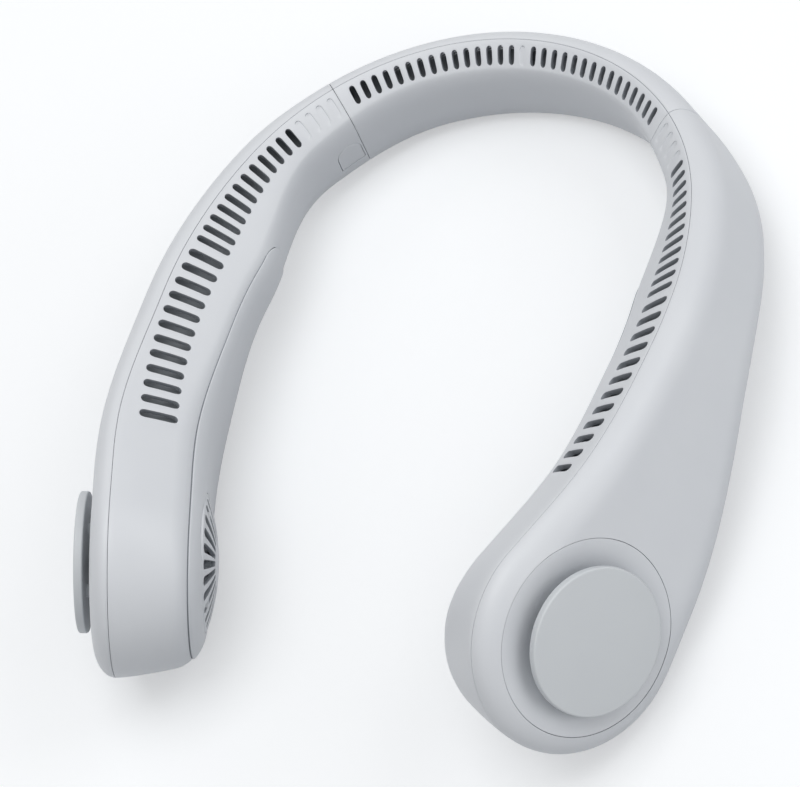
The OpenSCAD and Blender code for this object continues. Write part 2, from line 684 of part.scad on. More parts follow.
// Joint tab: an arch let into the inner face beside the joint, its round end up
module at_tab() {
  s = joint_s + tab_set;
  slope = (inner_a(s + tab_w / 2) - inner_a(s - tab_w / 2)) / tab_w;
  squash = (back_r + inner_a(s)) / back_r;
  at(s, tab_b, inner_a(s)) rotate([0, -atan(slope / squash), 0]) children();
}
module tab_shape(t, grow) {
  r = tab_w / 2 + grow;
  linear_extrude(t) union() {
    translate([0, tab_w / 2]) circle(r, $fn = round_fn / 2);
    translate([-r, tab_w / 2]) square([2 * r, tab_h - tab_w / 2 + grow]);
  }
}
module joint_tab() {
  color(shell_c) at_tab() tab_shape(tab_t, 0);
}

// Intake dish, with the spider that carries the disc cap
spider_arms = 3;
spider_w = 4;
hub_share = 0.373;
hub_hole_share = 0.233;
peg_share = 0.303;
hub_r = head_r * hub_share;
hub_hole_r = head_r * hub_hole_share;
hub_top = 1;
peg_pitch_r = head_r * peg_share;
peg_r = 1.9;
pin_r = 1.1;
pin_l = 1.2;
module rays(count) {
  for (k = [0:count - 1]) rotate([0, 0, 360 * k / count]) children();
}
module intake_dish() {
  throat = dish_lip - dish_fall;
  hub_h = hub_top - throat + grille_t;
  color(shell_c) at_head() difference() {
    union() {
      rotate_extrude($fn = round_fn) polygon([
        [throat_r, throat], [throat_r, throat - grille_t],
        [dish_r - seat, dish_lip - grille_t], [dish_r - seat, dish_lip],
      ]);
      translate([0, 0, throat - grille_t]) cylinder(h = hub_h, r = hub_r, $fn = round_fn);
      rays(spider_arms) translate([0, -spider_w / 2, throat - grille_t])
        cube([throat_r + seat, spider_w, hub_h]);
    }
    translate([0, 0, throat - grille_t - over])
      cylinder(h = hub_top + grille_t + 2 * over, r = hub_hole_r, $fn = round_fn);
    rays(spider_arms) translate([peg_pitch_r, 0, throat - grille_t - over])
      cylinder(h = hub_top + grille_t + 2 * over, r = pin_r + seat, $fn = round_fn / 2);
  }
}

// Disc cap: a flat disc with a rolled rim, on three pegs
cap_roll = 0.9;
cap_roll_steps = 4;
module disc_cap() {
  turn = 90 / cap_roll_steps;
  low = cap_top - cap_t;
  color(cap_c) at_head() union() {
    rotate_extrude($fn = round_fn) polygon([
      [0, low],
      for (k = [0:cap_roll_steps])
        [cap_r - cap_roll * (1 - sin(k * turn)), low + cap_roll * (1 - cos(k * turn))],
      for (k = [cap_roll_steps:-1:0])
        [cap_r - cap_roll * (1 - sin(k * turn)), cap_top - cap_roll * (1 - cos(k * turn))],
      [0, cap_top],
    ]);
    rays(spider_arms) translate([peg_pitch_r, 0, 0]) {
      translate([0, 0, hub_top]) cylinder(h = low - hub_top + seat, r = peg_r, $fn = round_fn / 2);
      translate([0, 0, hub_top - pin_l]) cylinder(h = pin_l + seat, r = pin_r, $fn = round_fn / 2);
    }
  }
}

// Inner grille: a domed disc of tapered slots, with the posts of the motor plate inside
grille_hub_r = 5;
grille_rim = 1.8;
grille_skirt = 2.2;
slot_root_w = 0.7;
slot_tip_w = 2.6;
dome_steps = 6;
plate_a = 23.3;
screw_r = 0.8;
posts = 3;
dome_z = fan_in + cover_proud;
function dome(r) = dome_z + grille_crown * (1 - pow(r / grille_r, 2));
module inner_grille() {
  rs = [for (k = [0:dome_steps]) grille_r * k / dome_steps];
  in_r = grille_r - grille_t;
  tip = grille_r - grille_rim;
  color(shell_c) at_head() rotate([180, 0, 0]) difference() {
    union() {
      rotate_extrude($fn = round_fn) polygon([
        for (r = rs) [r, dome(r)],
        [grille_r, dome_z - grille_skirt],
        [in_r, dome_z - grille_skirt],
        for (k = [dome_steps:-1:0]) [in_r * k / dome_steps, dome(in_r * k / dome_steps) - grille_t],
      ]);
      rays(posts) translate([post_pitch_r, 0, plate_a + plate_t])
        cylinder(h = dome(post_pitch_r) - grille_t / 2 - plate_a - plate_t, r = post_r, $fn = round_fn / 2);
    }
    rotate([0, 0, 180 / grille_slots]) rays(grille_slots) translate([0, 0, dome_z - grille_skirt - over])
      linear_extrude(grille_crown + grille_skirt + 2 * over) polygon([
        [grille_hub_r + grille_t, -slot_root_w / 2], [tip, -slot_tip_w / 2],
        [tip, slot_tip_w / 2], [grille_hub_r + grille_t, slot_root_w / 2],
      ]);
    rays(posts) translate([post_pitch_r, 0, plate_a])
      cylinder(h = plate_t + screw_l, r = screw_r, $fn = round_fn / 2);
  }
}

// Motor plate: a disc with three arms that rest on the posts
screw_l = 3;
screw_head_r = 1.6;
screw_head_t = 1;
module motor_plate() {
  color(steel_c) at_head() translate([0, 0, -plate_a - plate_t]) difference() {
    union() {
      cylinder(h = plate_t, r = plate_r, $fn = round_fn);
      rays(posts) {
        translate([0, -post_r, 0]) cube([post_pitch_r, 2 * post_r, plate_t]);
        translate([post_pitch_r, 0, 0]) cylinder(h = plate_t, r = post_r, $fn = round_fn / 2);
      }
    }
    translate([0, 0, -over]) cylinder(h = plate_t + 2 * over, r = bush_r, $fn = round_fn / 2);
    rays(posts) translate([post_pitch_r, 0, -over])
      cylinder(h = plate_t + 2 * over, r = screw_r, $fn = round_fn / 2);
  }
}
module motor_screws() {
  color(steel_c) at_head() translate([0, 0, -plate_a]) rays(posts) translate([post_pitch_r, 0, 0]) {
    cylinder(h = screw_head_t, r = screw_head_r, $fn = round_fn / 2);
    translate([0, 0, -screw_l]) cylinder(h = screw_l, r = screw_r, $fn = round_fn / 2);
  }
}

// Rotor: impeller, steel cup, magnet ring and shaft
disc_a = 12;
disc_t = 1.2;
ring_t = 0.8;
ring_w = 1.2;
hub_skin = 1;
blade_steps = 4;
blade_sweep = 16;
boss_r = 2.2;
boss_h = 2;
module impeller() {
  low = -imp_top - imp_h;
  span = imp_r - seat - blade_in;
  function edge(k, side) =
    let (u = k / blade_steps, t = blade_sweep * u * u, r = blade_in + span * u)
    [r * cos(t) - side * blade_t / 2 * sin(t), r * sin(t) + side * blade_t / 2 * cos(t)];
  color(dark_c) at_head() union() {
    rays(blades) translate([0, 0, low]) linear_extrude(imp_h) polygon([
      for (k = [0:blade_steps]) edge(k, -1),
      for (k = [blade_steps:-1:0]) edge(k, 1),
    ]);
    translate([0, 0, -disc_a]) cylinder(h = disc_t, r = imp_r - ring_w / 2, $fn = round_fn);
    for (z = [low, -imp_top - ring_t]) translate([0, 0, z]) difference() {
      cylinder(h = ring_t, r = imp_r, $fn = round_fn);
      translate([0, 0, -over]) cylinder(h = ring_t + 2 * over, r = imp_r - ring_w, $fn = round_fn);
    }
    translate([0, 0, low]) difference() {
      cylinder(h = -disc_a - low + disc_t / 2, r = cup_r + hub_skin, $fn = round_fn);
      translate([0, 0, -over]) cylinder(h = -disc_a - low + over, r = cup_r, $fn = round_fn);
    }
  }
}
module rotor_cup() {
  color(steel_c) at_head() translate([0, 0, -disc_a - cup_h]) difference() {
    union() {
      difference() {
        cylinder(h = cup_h, r = cup_r, $fn = round_fn);
        translate([0, 0, -over]) cylinder(h = cup_h - cup_t + over, r = cup_r - cup_t, $fn = round_fn);
      }
      translate([0, 0, cup_h - cup_t - boss_h])
        cylinder(h = boss_h + cup_t / 2, r = boss_r, $fn = round_fn / 2);
    }
    translate([0, 0, -over]) cylinder(h = cup_h + 2 * over, r = shaft_r, $fn = round_fn / 2);
  }
}
module tube(h, outer, inner) {
  difference() {
    cylinder(h = h, r = outer, $fn = round_fn);
    translate([0, 0, -over]) cylinder(h = h + 2 * over, r = inner, $fn = round_fn);
  }
}
magnet_h = cup_h - cup_t - fit;
module magnet_ring() {
  color(dark_c) at_head() translate([0, 0, -disc_a - cup_t - magnet_h])
    tube(magnet_h, cup_r - cup_t, cup_r - cup_t - magnet_t);
}
bush_end = 24.5;
module motor_shaft() {
  color(steel_c) at_head() translate([0, 0, -bush_end])
    cylinder(h = bush_end - disc_a, r = shaft_r, $fn = round_fn / 2);
}
bush_top = disc_a + cup_t + boss_h + fit;
module motor_bush() {
  color(copper_c) at_head() translate([0, 0, -bush_end])
    tube(bush_end - bush_top, bush_r, shaft_r + bush_play);
}

// Stator: laminated teeth with a winding on each
teeth = 9;
tooth_w = 1.6;
tooth_tip = 0.8;
tip_turn = 28;
core_r = 4;
stack_h = 3;
coil_w = 2.4;
coil_h = 4.4;
coil_gap = 0.3;
stator_r = cup_r - cup_t - magnet_t - air_gap;
stator_a = 17.6;
module stator() {
  tip_r = stator_r - tooth_tip;
  color(copper_c) at_head() translate([0, 0, -stator_a]) difference() {
    union() {
      translate([0, 0, -stack_h / 2]) cylinder(h = stack_h, r = core_r, $fn = round_fn);
      rays(teeth) {
        translate([0, -tooth_w / 2, -stack_h / 2]) cube([tip_r + seat, tooth_w, stack_h]);
        rotate([0, 0, -tip_turn / 2]) rotate_extrude(angle = tip_turn, $fn = round_fn)
          translate([tip_r, -stack_h / 2]) square([tooth_tip, stack_h]);
        translate([core_r - seat, -coil_w / 2, -coil_h / 2])
          cube([tip_r - core_r + seat - coil_gap, coil_w, coil_h]);
      }
    }
    translate([0, 0, -coil_h]) cylinder(h = 2 * coil_h, r = bush_r, $fn = round_fn);
  }
}

// Volute wall: a scroll round the impeller, open towards the arm, on three feet
scroll_in_share = 0.714;
scroll_out_share = 0.76;
foot_share = 0.649;
scroll_in = head_r * scroll_in_share;
scroll_out = head_r * scroll_out_share;
scroll_t = 1;
scroll_from = 190;
scroll_turn = 300;
scroll_steps = 30;
scroll_top = 0.3;
scroll_low = 19;
foot_r = 0.9;
foot_pitch_r = head_r * foot_share;
foot_w = 1.6;
foot_t = 1;
foot_up = 1;
foot_shares = [0.13, 0.48, 0.83];
module volute_wall() {
  function scroll(k, grow) =
    let (u = k / scroll_steps, t = scroll_from - scroll_turn * u, r = mix(scroll_in, scroll_out, u) + grow)
    [r * cos(t), r * sin(t)];
  floor_a = fan_in + cover_proud - wall - foot_up;
  color(shell_c) at_head() union() {
    translate([0, 0, -scroll_low]) linear_extrude(scroll_low + scroll_top) polygon([
      for (k = [0:scroll_steps]) scroll(k, scroll_t),
      for (k = [scroll_steps:-1:0]) scroll(k, 0),
    ]);
    for (u = foot_shares) rotate([0, 0, scroll_from - scroll_turn * u]) {
      translate([foot_pitch_r, -foot_w / 2, -scroll_low])
        cube([mix(scroll_in, scroll_out, u) + scroll_t / 2 - foot_pitch_r, foot_w, foot_t]);
      translate([foot_pitch_r, 0, -floor_a])
        cylinder(h = floor_a - scroll_low + foot_t, r = foot_r, $fn = round_fn / 2);
    }
  }
}

// Battery, taped under the air divider
cell_a = 13.5;
tape = 0.6;
cell_b = divider_b + divider_t + tape + cell_r;
cell_tip_r = 2.5;
cell_tip_h = 0.8;
module battery() {
  color(copper_c) at(cell_s, cell_b, -cell_a) rotate([0, 90, 0]) union() {
    translate([0, 0, -cell_l / 2]) cylinder(h = cell_l, r = cell_r, $fn = round_fn);
    translate([0, 0, cell_l / 2 - seat]) cylinder(h = cell_tip_h + seat, r = cell_tip_r, $fn = round_fn / 2);
  }
}

// Controls: a frame on the underside of the left arm, X forwards, Y to the neck, Z out
control_s = s_fan - board_run;
control_a = -14;
module at_controls() {
  u = (control_s - low_start) / (low_end[0] - low_start);
  st = low_at(u);
  d = strip_d(st[0], control_a, 1);
  slope = atan((strip_d(st[0], control_a - over, 1) - d) / over);
  at(in_s(st, d), st[1] + d * st[3], control_a)
    rotate([0, 0, low_dir]) rotate([slope - 90, 0, 0]) children();
}
port_x = -6.4;
button_x = 4;
lamp_x = 9.9;
lamp_pitch = 2;
board_post_r = 1.7;
board_post_x = 13.2;
port_wall = 0.3;
port_l = 7.3;
port_tongue_w = 6.2;
port_tongue_t = 0.7;
mouth_fit = 0.15;
module stadium(h, w, t) {
  linear_extrude(h) union() {
    square([w - t, t], center = true);
    for (k = [-1, 1]) translate([k * (w - t) / 2, 0]) circle(t / 2, $fn = round_fn / 2);
  }
}
module lamp_places() {
  for (k = [0:lamps - 1]) translate([lamp_x, (k - (lamps - 1) / 2) * lamp_pitch, 0]) children();
}
module board_places() {
  for (k = [-1, 1]) translate([k * board_post_x, 0, -board_in]) children();
}
module control_board() {
  color(board_c) at_controls() difference() {
    translate([-board_l / 2, -board_w / 2, -board_in - board_t]) cube([board_l, board_w, board_t]);
    board_places() translate([0, 0, -board_t - over])
      cylinder(h = board_t + 2 * over, r = screw_r, $fn = round_fn / 2);
  }
}
module charge_socket() {
  color(steel_c) at_controls() translate([port_x, 0, -board_in]) union() {
    difference() {
      stadium(port_l, port_w, port_h);
      translate([0, 0, port_wall]) stadium(port_l, port_w - 2 * port_wall, port_h - 2 * port_wall);
    }
    translate([-port_tongue_w / 2, -port_tongue_t / 2, port_wall / 2])
      cube([port_tongue_w, port_tongue_t, port_l - port_h / 2]);
  }
}
switch_w = 6;
switch_h = 3.2;
switch_tip_r = 1.6;
switch_tip_h = 0.8;
module power_switch() {
  color(dark_c) at_controls() translate([button_x, 0, -board_in]) union() {
    translate([-switch_w / 2, -switch_w / 2, 0]) cube([switch_w, switch_w, switch_h]);
    cylinder(h = switch_h + switch_tip_h, r = switch_tip_r, $fn = round_fn / 2);
  }
}
button_fit = 0.08;
button_flange = 0.7;
button_flange_t = 0.8;
// Wall left over the button's flange
button_ledge = 1.2;
module power_button() {
  top = -button_ledge - fit;
  low = top - button_flange_t;
  stem = -board_in + switch_h + switch_tip_h + button_travel + seat;
  color(cap_c) at_controls() translate([button_x, 0, 0]) union() {
    translate([0, 0, low]) cylinder(h = button_proud - low, r = button_r, $fn = round_fn);
    translate([0, 0, low]) cylinder(h = button_flange_t, r = button_r + button_flange, $fn = round_fn);
    translate([0, 0, stem]) cylinder(h = top - stem, r = switch_tip_r, $fn = round_fn / 2);
  }
}
guide_t = 1.2;
guide_a = 4.7;
module light_guide() {
  color(shell_c) at_controls() union() {
    lamp_places() translate([0, 0, -board_in]) cylinder(h = board_in, r = lamp_r, $fn = round_fn / 2);
    translate([lamp_x - lamp_r, -lamp_pitch * (lamps - 1) / 2, -guide_a])
      cube([2 * lamp_r, lamp_pitch * (lamps - 1), guide_t]);
  }
}
module board_screws() {
  color(steel_c) at_controls() board_places() translate([0, 0, -board_t - screw_head_t]) union() {
    cylinder(h = screw_head_t, r = screw_head_r, $fn = round_fn / 2);
    cylinder(h = screw_head_t + board_t + screw_l, r = screw_r, $fn = round_fn / 2);
  }
}
module left_slotted_shell() {
  cut_low = -wall - 2 * over;
  cut_h = over - cut_low;
  color(shell_c) difference() {
    union() {
      arm_slotted_shell();
      at_controls() board_places()
        cylinder(h = board_in - wall / 2, r = board_post_r, $fn = round_fn / 2);
    }
    at_controls() {
      translate([port_x, 0, cut_low]) stadium(cut_h, port_w + 2 * mouth_fit, port_h + 2 * mouth_fit);
      translate([button_x, 0, cut_low]) {
        cylinder(h = cut_h, r = button_r + button_fit, $fn = round_fn);
        cylinder(h = -button_ledge - cut_low, r = button_r + button_flange + fit, $fn = round_fn);
      }
      lamp_places() translate([0, 0, cut_low])
        cylinder(h = cut_h, r = lamp_r + seat, $fn = round_fn / 2);
      board_places() translate([0, 0, -over])
        cylinder(h = screw_l + over + seat, r = screw_r, $fn = round_fn / 2);
    }
  }
}

middle_outer_shell();
middle_slotted_shell();
middle_air_divider();
wire_harness();
arm_outer_shell();  // left_outer_shell
left_slotted_shell();
right() arm_slotted_shell();  // right_slotted_shell
control_board();
charge_socket();
power_switch();
power_button();
light_guide();
board_screws();
right() arm_outer_shell();  // right_outer_shell
arm_inner_cover();  // left_inner_cover
right() arm_inner_cover();  // right_inner_cover
inner_grille();  // left_inner_grille
right() inner_grille();  // right_inner_grille
intake_dish();  // left_intake_dish
right() intake_dish();  // right_intake_dish
disc_cap();  // left_disc_cap
right() disc_cap();  // right_disc_cap
impeller();  // left_impeller
right() impeller();  // right_impeller
rotor_cup();  // left_rotor_cup
right() rotor_cup();  // right_rotor_cup
magnet_ring();  // left_magnet_ring
right() magnet_ring();  // right_magnet_ring
motor_shaft();  // left_motor_shaft
right() motor_shaft();  // right_motor_shaft
motor_bush();  // left_motor_bush
right() motor_bush();  // right_motor_bush
stator();  // left_stator
right() stator();  // right_stator
motor_plate();  // left_motor_plate
right() motor_plate();  // right_motor_plate
motor_screws();  // left_motor_screws
right() motor_screws();  // right_motor_screws
volute_wall();  // left_volute_wall
right() volute_wall();  // right_volute_wall
battery();  // left_battery
right() battery();  // right_battery
arm_air_divider();  // left_air_divider
right() arm_air_divider();  // right_air_divider
joint_sleeve();  // left_joint_sleeve
right() joint_sleeve();  // right_joint_sleeve
joint_tab();  // left_joint_tab
right() joint_tab();  // right_joint_tab
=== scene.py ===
"""Wearable neck fan: the shells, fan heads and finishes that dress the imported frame."""
import logging
import math
from dataclasses import dataclass
from enum import Enum
from typing import Any, Callable, Optional, Sequence

import bpy
from mathutils import Matrix, Vector
from mathutils.bvhtree import BVHTree


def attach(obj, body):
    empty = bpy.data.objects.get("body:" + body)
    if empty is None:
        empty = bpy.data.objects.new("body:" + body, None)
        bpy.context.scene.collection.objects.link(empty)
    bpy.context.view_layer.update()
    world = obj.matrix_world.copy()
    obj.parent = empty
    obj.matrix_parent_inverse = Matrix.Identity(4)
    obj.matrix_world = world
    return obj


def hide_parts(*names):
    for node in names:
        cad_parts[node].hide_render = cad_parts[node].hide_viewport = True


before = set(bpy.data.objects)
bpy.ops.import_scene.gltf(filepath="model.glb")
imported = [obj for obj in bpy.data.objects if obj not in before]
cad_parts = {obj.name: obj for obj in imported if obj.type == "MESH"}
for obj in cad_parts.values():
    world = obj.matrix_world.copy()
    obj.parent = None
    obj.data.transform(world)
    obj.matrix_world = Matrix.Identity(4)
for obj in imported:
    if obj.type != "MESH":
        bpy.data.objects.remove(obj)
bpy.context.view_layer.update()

LOG = logging.getLogger("neck_fan")
MM = 0.001
Grid = list[list[Vector]]
Profile = Sequence[tuple[float, float]]
Where = Callable[[int, int], bool]
# The turn at which shading breaks, and the turn from which an edge is rounded
CREASE = math.radians(38)
SHARP = math.radians(48)


class Side(Enum):
    """The wearer's side that an arm or a fan head is on."""

    LEFT = 1
    RIGHT = -1

    @property
    def word(self) -> str:
        """Return the word that the side's node names start with."""
        return self.name.lower()

    @property
    def mirror(self) -> Matrix:
        """Return the matrix that brings left-hand geometry to this side."""
        return Matrix.Diagonal((self.value, 1, 1, 1))


class Opening(Enum):
    """What a mark on the slotted strip is."""

    RIB = 0
    SLOT = 1
    GROOVE = 2


def ease(x: float, low: float, high: float) -> float:
    """Return a smooth step of x between two values.

    Args:
        x: Place to read.
        low: Place where the step starts.
        high: Place where it ends.

    Returns:
        A share from 0 to 1.
    """
    u = min(1.0, max(0.0, (x - low) / (high - low)))
    return u * u * (3 - 2 * u)


def mix(p: Any, q: Any, u: float) -> Any:
    """Return the value a share u of the way from p to q."""
    return p + (q - p) * u


def spread(low: float, high: float, count: int) -> list[float]:
    """Return count + 1 even places from low to high."""
    return [mix(low, high, k / count) for k in range(count + 1)]


@dataclass(frozen=True)
class NeckPath:
    """Line that the band follows, in millimetres, and how the fan lies on the table."""

    back_r: float = 80.5
    back_turn: float = 71.0
    shoulder_r: float = 126.5
    shoulder_turn: float = 19.0
    arm_r: float = 152.5
    arm_turn: float = 22.0
    fan_run: float = 24.6
    back_lean: float = 10.0
    arm_lean: float = 19.3
    rest_tilt: float = 11.4351
    slide_y: float = 107.017
    lift: float = 31.8272

    @property
    def s_back(self) -> float:
        """Return where the back bend ends."""
        return math.radians(self.back_turn) * self.back_r

    @property
    def s_shoulder(self) -> float:
        """Return where the shoulder bend ends."""
        return self.s_back + math.radians(self.shoulder_turn) * self.shoulder_r

    @property
    def s_arm(self) -> float:
        """Return where the arm bend ends."""
        return self.s_shoulder + math.radians(self.arm_turn) * self.arm_r

    @property
    def s_fan(self) -> float:
        """Return where the fan axis is."""
        return self.s_arm + self.fan_run

    def centre_line(self, s: float) -> tuple[float, float, float]:
        """Return the path's place and heading at a length.

        Args:
            s: Length along the path, from 0 on.

        Returns:
            The x and y in millimetres, and the heading in radians.
        """
        turn_2 = self.back_turn + self.shoulder_turn
        turn_3 = turn_2 + self.arm_turn
        bends = (
            (self.back_r, 0.0, self.back_turn, 0.0, self.s_back),
            (self.shoulder_r, self.back_turn, turn_2, self.s_back, self.s_shoulder),
            (self.arm_r, turn_2, turn_3, self.s_shoulder, self.s_arm),
        )
        x, y, last_r = 0.0, 0.0, 0.0
        for r, t0, t1, s0, s1 in bends:
            t = math.radians(t0)
            x += (last_r - r) * math.sin(t)
            y += (last_r - r) * math.cos(t)
            last_r = r
            if s < s1 or r == self.arm_r:
                t = math.radians(mix(t0, t1, min(1.0, (s - s0) / (s1 - s0))))
                px, py = x + r * math.sin(t), y + r * math.cos(t)
                run = max(0.0, s - self.s_arm)
                return px + run * math.cos(t), py - run * math.sin(t), t
        raise ValueError(s)

    def lean(self, s: float) -> float:
        """Return how far the band leans outwards at s, in radians."""
        return math.radians(mix(self.back_lean, self.arm_lean, ease(abs(s), 0, self.s_shoulder)))

    def put(self, s: float, b: float, a: float) -> Vector:
        """Return a point of the band in metres.

        Args:
            s: Length along the path; negative on the wearer's right.
            b: Distance down the band.
            a: Distance outwards from the path.

        Returns:
            The point in the part's own frame.
        """
        x, y, t = self.centre_line(abs(s))
        n = self.lean(s)
        h = a * math.cos(n) + b * math.sin(n)
        x, y = x + h * math.sin(t), y + h * math.cos(t)
        z = a * math.sin(n) - b * math.cos(n)
        return self.laid(-x if s < 0 else x, y, z)

    def turned(self, x: float, y: float, z: float) -> Vector:
        """Return a direction as it is once the fan lies on the table."""
        return Matrix.Rotation(-math.radians(self.rest_tilt), 3, "X") @ Vector((x, y, z))

    def laid(self, x: float, y: float, z: float) -> Vector:
        """Return a point in metres, as it is once the fan lies on the table."""
        return (self.turned(x, y, z) + Vector((0, self.slide_y, self.lift))) * MM

    def frame_at(self, s: float, b: float, a: float) -> Matrix:
        """Return a frame on the left arm.

        Args:
            s: Length along the path.
            b: Distance down the band.
            a: Distance outwards from the path.

        Returns:
            The frame, with X forwards, Y down the band and Z outwards.
        """
        origin = self.put(s, b, a)
        z = (self.put(s, b, a + 1) - origin).normalized()
        y = (self.put(s, b + 1, a) - origin).normalized()
        x = y.cross(z)
        return Matrix.Translation(origin) @ Matrix((x, y, z)).transposed().to_4x4()


@dataclass(frozen=True)
class Station:
    """A place on the outline with the direction into the body, in the plane of s and b."""

    s: float
    b: float
    ds: float
    db: float

    @property
    def front(self) -> float:
        """Return how far the outline has turned from the top towards the front."""
        return 1 - self.db ** 4 if self.db > 0 else 1.0


@dataclass(frozen=True)
class Band:
    """Section of the band and outline of the fan heads, in millimetres."""

    path: NeckPath = NeckPath()
    height: float = 32.0
    wall: float = 1.7
    outer_set: float = 0.9
    back_in: float = 15.3
    joint_in: float = 17.7
    arm_in: float = 28.8
    fan_in: float = 26.5
    fan_out: float = 3.7
    seam_in: float = 6.5
    fan_seam_in: float = 2.1
    outer_roll: float = 8.8
    inner_roll: float = 7.4
    fan_roll: float = 10.5
    back_edge: float = 1.6
    arm_edge: float = 4.2
    fan_edge: float = 7.5
    back_drop: float = 4.3
    arm_drop: float = 5.1
    under_drop: float = 2.8
    strip_bow: float = 1.35
    cover_turn: float = 35.0
    head_r: float = 32.2
    head_b: float = 34.6
    taper_run: float = 85.5
    low_sweep_r: float = 84.0
    sweep_share: float = 0.3
    joint_s: float = 65.4
    seam_gap: float = 0.14
    # Where a change starts and ends, as shares of the back bend
    arm_change: tuple[float, float] = (0.67, 0.95)
    pad_change: tuple[float, float] = (0.81, 1.3)
    joint_change: tuple[float, float] = (0.37, 0.84)
    # Where the fan head's section starts and is reached, back from the fan axis
    fan_from: float = 70.0
    fan_by: float = 14.0

    def changed(self, s: float, shares: tuple[float, float]) -> float:
        """Return how far a change between two shares of the back bend is at s."""
        return ease(abs(s), self.path.s_back * shares[0], self.path.s_back * shares[1])

    def arm_u(self, s: float) -> float:
        """Return how far the section has changed from the back's to the arm's."""
        return self.changed(s, self.arm_change)

    def pad_u(self, s: float) -> float:
        """Return how far the inner face has swelled into the arm's pad."""
        return self.changed(s, self.pad_change)

    def fan_u(self, s: float) -> float:
        """Return how far the section has changed into the fan head's."""
        return ease(abs(s), self.path.s_fan - self.fan_from, self.path.s_fan - self.fan_by)

    def joint_u(self, s: float) -> float:
        """Return how far the back's section has changed into the joint's."""
        return self.changed(s, self.joint_change)

    def outer_a(self, s: float) -> float:
        """Return the depth of the outer face."""
        return -self.outer_set * (1 - self.arm_u(s)) + self.fan_out * self.fan_u(s)

    def inner_a(self, s: float) -> float:
        """Return the depth of the inner face."""
        back = mix(self.back_in, self.joint_in, self.joint_u(s))
        return -mix(mix(back, self.arm_in, self.pad_u(s)), self.fan_in, self.fan_u(s))

    def seam_a(self, s: float) -> float:
        """Return the depth of the long seam."""
        return -mix(self.seam_in, self.fan_seam_in, self.fan_u(s))

    def edge_a(self, s: float) -> float:
        """Return the depth where the strip turns into the inner roll."""
        band = mix(self.back_edge, self.arm_edge, self.pad_u(s))
        return self.inner_a(s) + mix(band, self.fan_edge, self.fan_u(s))

    def roll_h(self, s: float) -> float:
        """Return the height of the inner roll."""
        return mix(self.inner_roll, self.fan_roll, self.fan_u(s))

    def drop(self, st: Station) -> float:
        """Return the fall of the strip at its inner edge."""
        top = mix(self.back_drop, self.arm_drop, self.arm_u(st.s))
        return mix(top, self.under_drop, st.front)

    @property
    def small_r(self) -> float:
        """Return half the band's height."""
        return self.height / 2

    @property
    def taper_dir(self) -> float:
        """Return the direction of the taper's middle line, in radians."""
        return math.atan2(self.head_b - self.small_r, self.taper_run)

    @property
    def taper_open(self) -> float:
        """Return half the angle between the taper's edges, in radians."""
        return math.asin((self.head_r - self.small_r)
                         / math.hypot(self.head_b - self.small_r, self.taper_run))

    @property
    def top_dir(self) -> float:
        """Return the direction of the taper's upper edge."""
        return self.taper_dir - self.taper_open

    @property
    def low_dir(self) -> float:
        """Return the direction of the taper's lower edge."""
        return self.taper_dir + self.taper_open

    def head_pt(self, angle: float, r: float) -> tuple[float, float]:
        """Return a point on a circle round the fan axis, in s and b."""
        return self.path.s_fan + r * math.cos(angle), self.head_b + r * math.sin(angle)

    @property
    def top_turn(self) -> float:
        """Return the angle on the fan head where the upper edge meets it."""
        return self.top_dir - math.pi / 2

    @property
    def low_turn(self) -> float:
        """Return the angle on the fan head where the lower edge meets it."""
        return self.low_dir + math.pi / 2

    @property
    def top_end(self) -> tuple[float, float]:
        """Return where the upper edge meets the fan head."""
        return self.head_pt(self.top_turn, self.head_r)

    @property
    def low_end(self) -> tuple[float, float]:
        """Return where the lower edge meets the fan head."""
        return self.head_pt(self.low_turn, self.head_r)

    @property
    def head_frame(self) -> Matrix:
        """Return the left fan head's frame: X forwards, Y down, Z outwards."""
        return self.path.frame_at(self.path.s_fan, self.head_b, 0)

    @property
    def low_start(self) -> float:
        """Return where the plain underside ends."""
        corner = self.low_end[0] - (self.low_end[1] - self.height) / math.tan(self.low_dir)
        return corner - self.low_sweep_r * math.tan(self.low_dir / 2)

    def top_at(self, s: float) -> Station:
        """Return the station on the upper edge.

        Args:
            s: Length along the path.

        Returns:
            The station, with the direction down into the body.
        """
        start = self.path.s_fan - self.taper_run
        if s < start:
            return Station(s, 0, 0, 1)
        end = self.top_end
        return Station(s, end[1] * (s - start) / (end[0] - start),
                       -math.sin(self.top_dir), math.cos(self.top_dir))

    def low_at(self, u: float) -> Station:
        """Return the station on the lower edge.

        Args:
            u: Share of the taper, below 0 on the plain band.

        Returns:
            The station, with the direction up into the body.
        """
        start, end, r = self.low_start, self.low_end, self.low_sweep_r
        if u <= 0:
            return Station(mix(self.joint_s, start, 1 + u), self.height, 0, -1)
        if u < self.sweep_share:
            t = self.low_dir * u / self.sweep_share
            return Station(start + r * math.sin(t), self.height + r * (1 - math.cos(t)),
                           math.sin(t), -math.cos(t))
        t = self.low_dir
        v = (u - self.sweep_share) / (1 - self.sweep_share)
        return Station(mix(start + r * math.sin(t), end[0], v),
                       mix(self.height + r * (1 - math.cos(t)), end[1], v),
                       math.sin(t), -math.cos(t))

    def rim_at(self, angle: float) -> Station:
        """Return the station on the round front at an angle in radians."""
        return Station(*self.head_pt(angle, self.head_r), -math.cos(angle), -math.sin(angle))

    def u_of(self, s: float) -> float:
        """Return the taper's share at a length.

        Args:
            s: Length along the path.

        Returns:
            A share from 0 to 1 on the taper, and below 0 on the plain band.
        """
        start = self.low_start
        if s < start:
            return (s - start) / (start - self.joint_s)
        return (s - start) / (self.top_end[0] - start)

    def s_of(self, u: float) -> float:
        """Return the place on the upper edge at the taper's share u."""
        start = self.low_start
        return mix(self.joint_s, start, 1 + u) if u < 0 else mix(start, self.top_end[0], u)

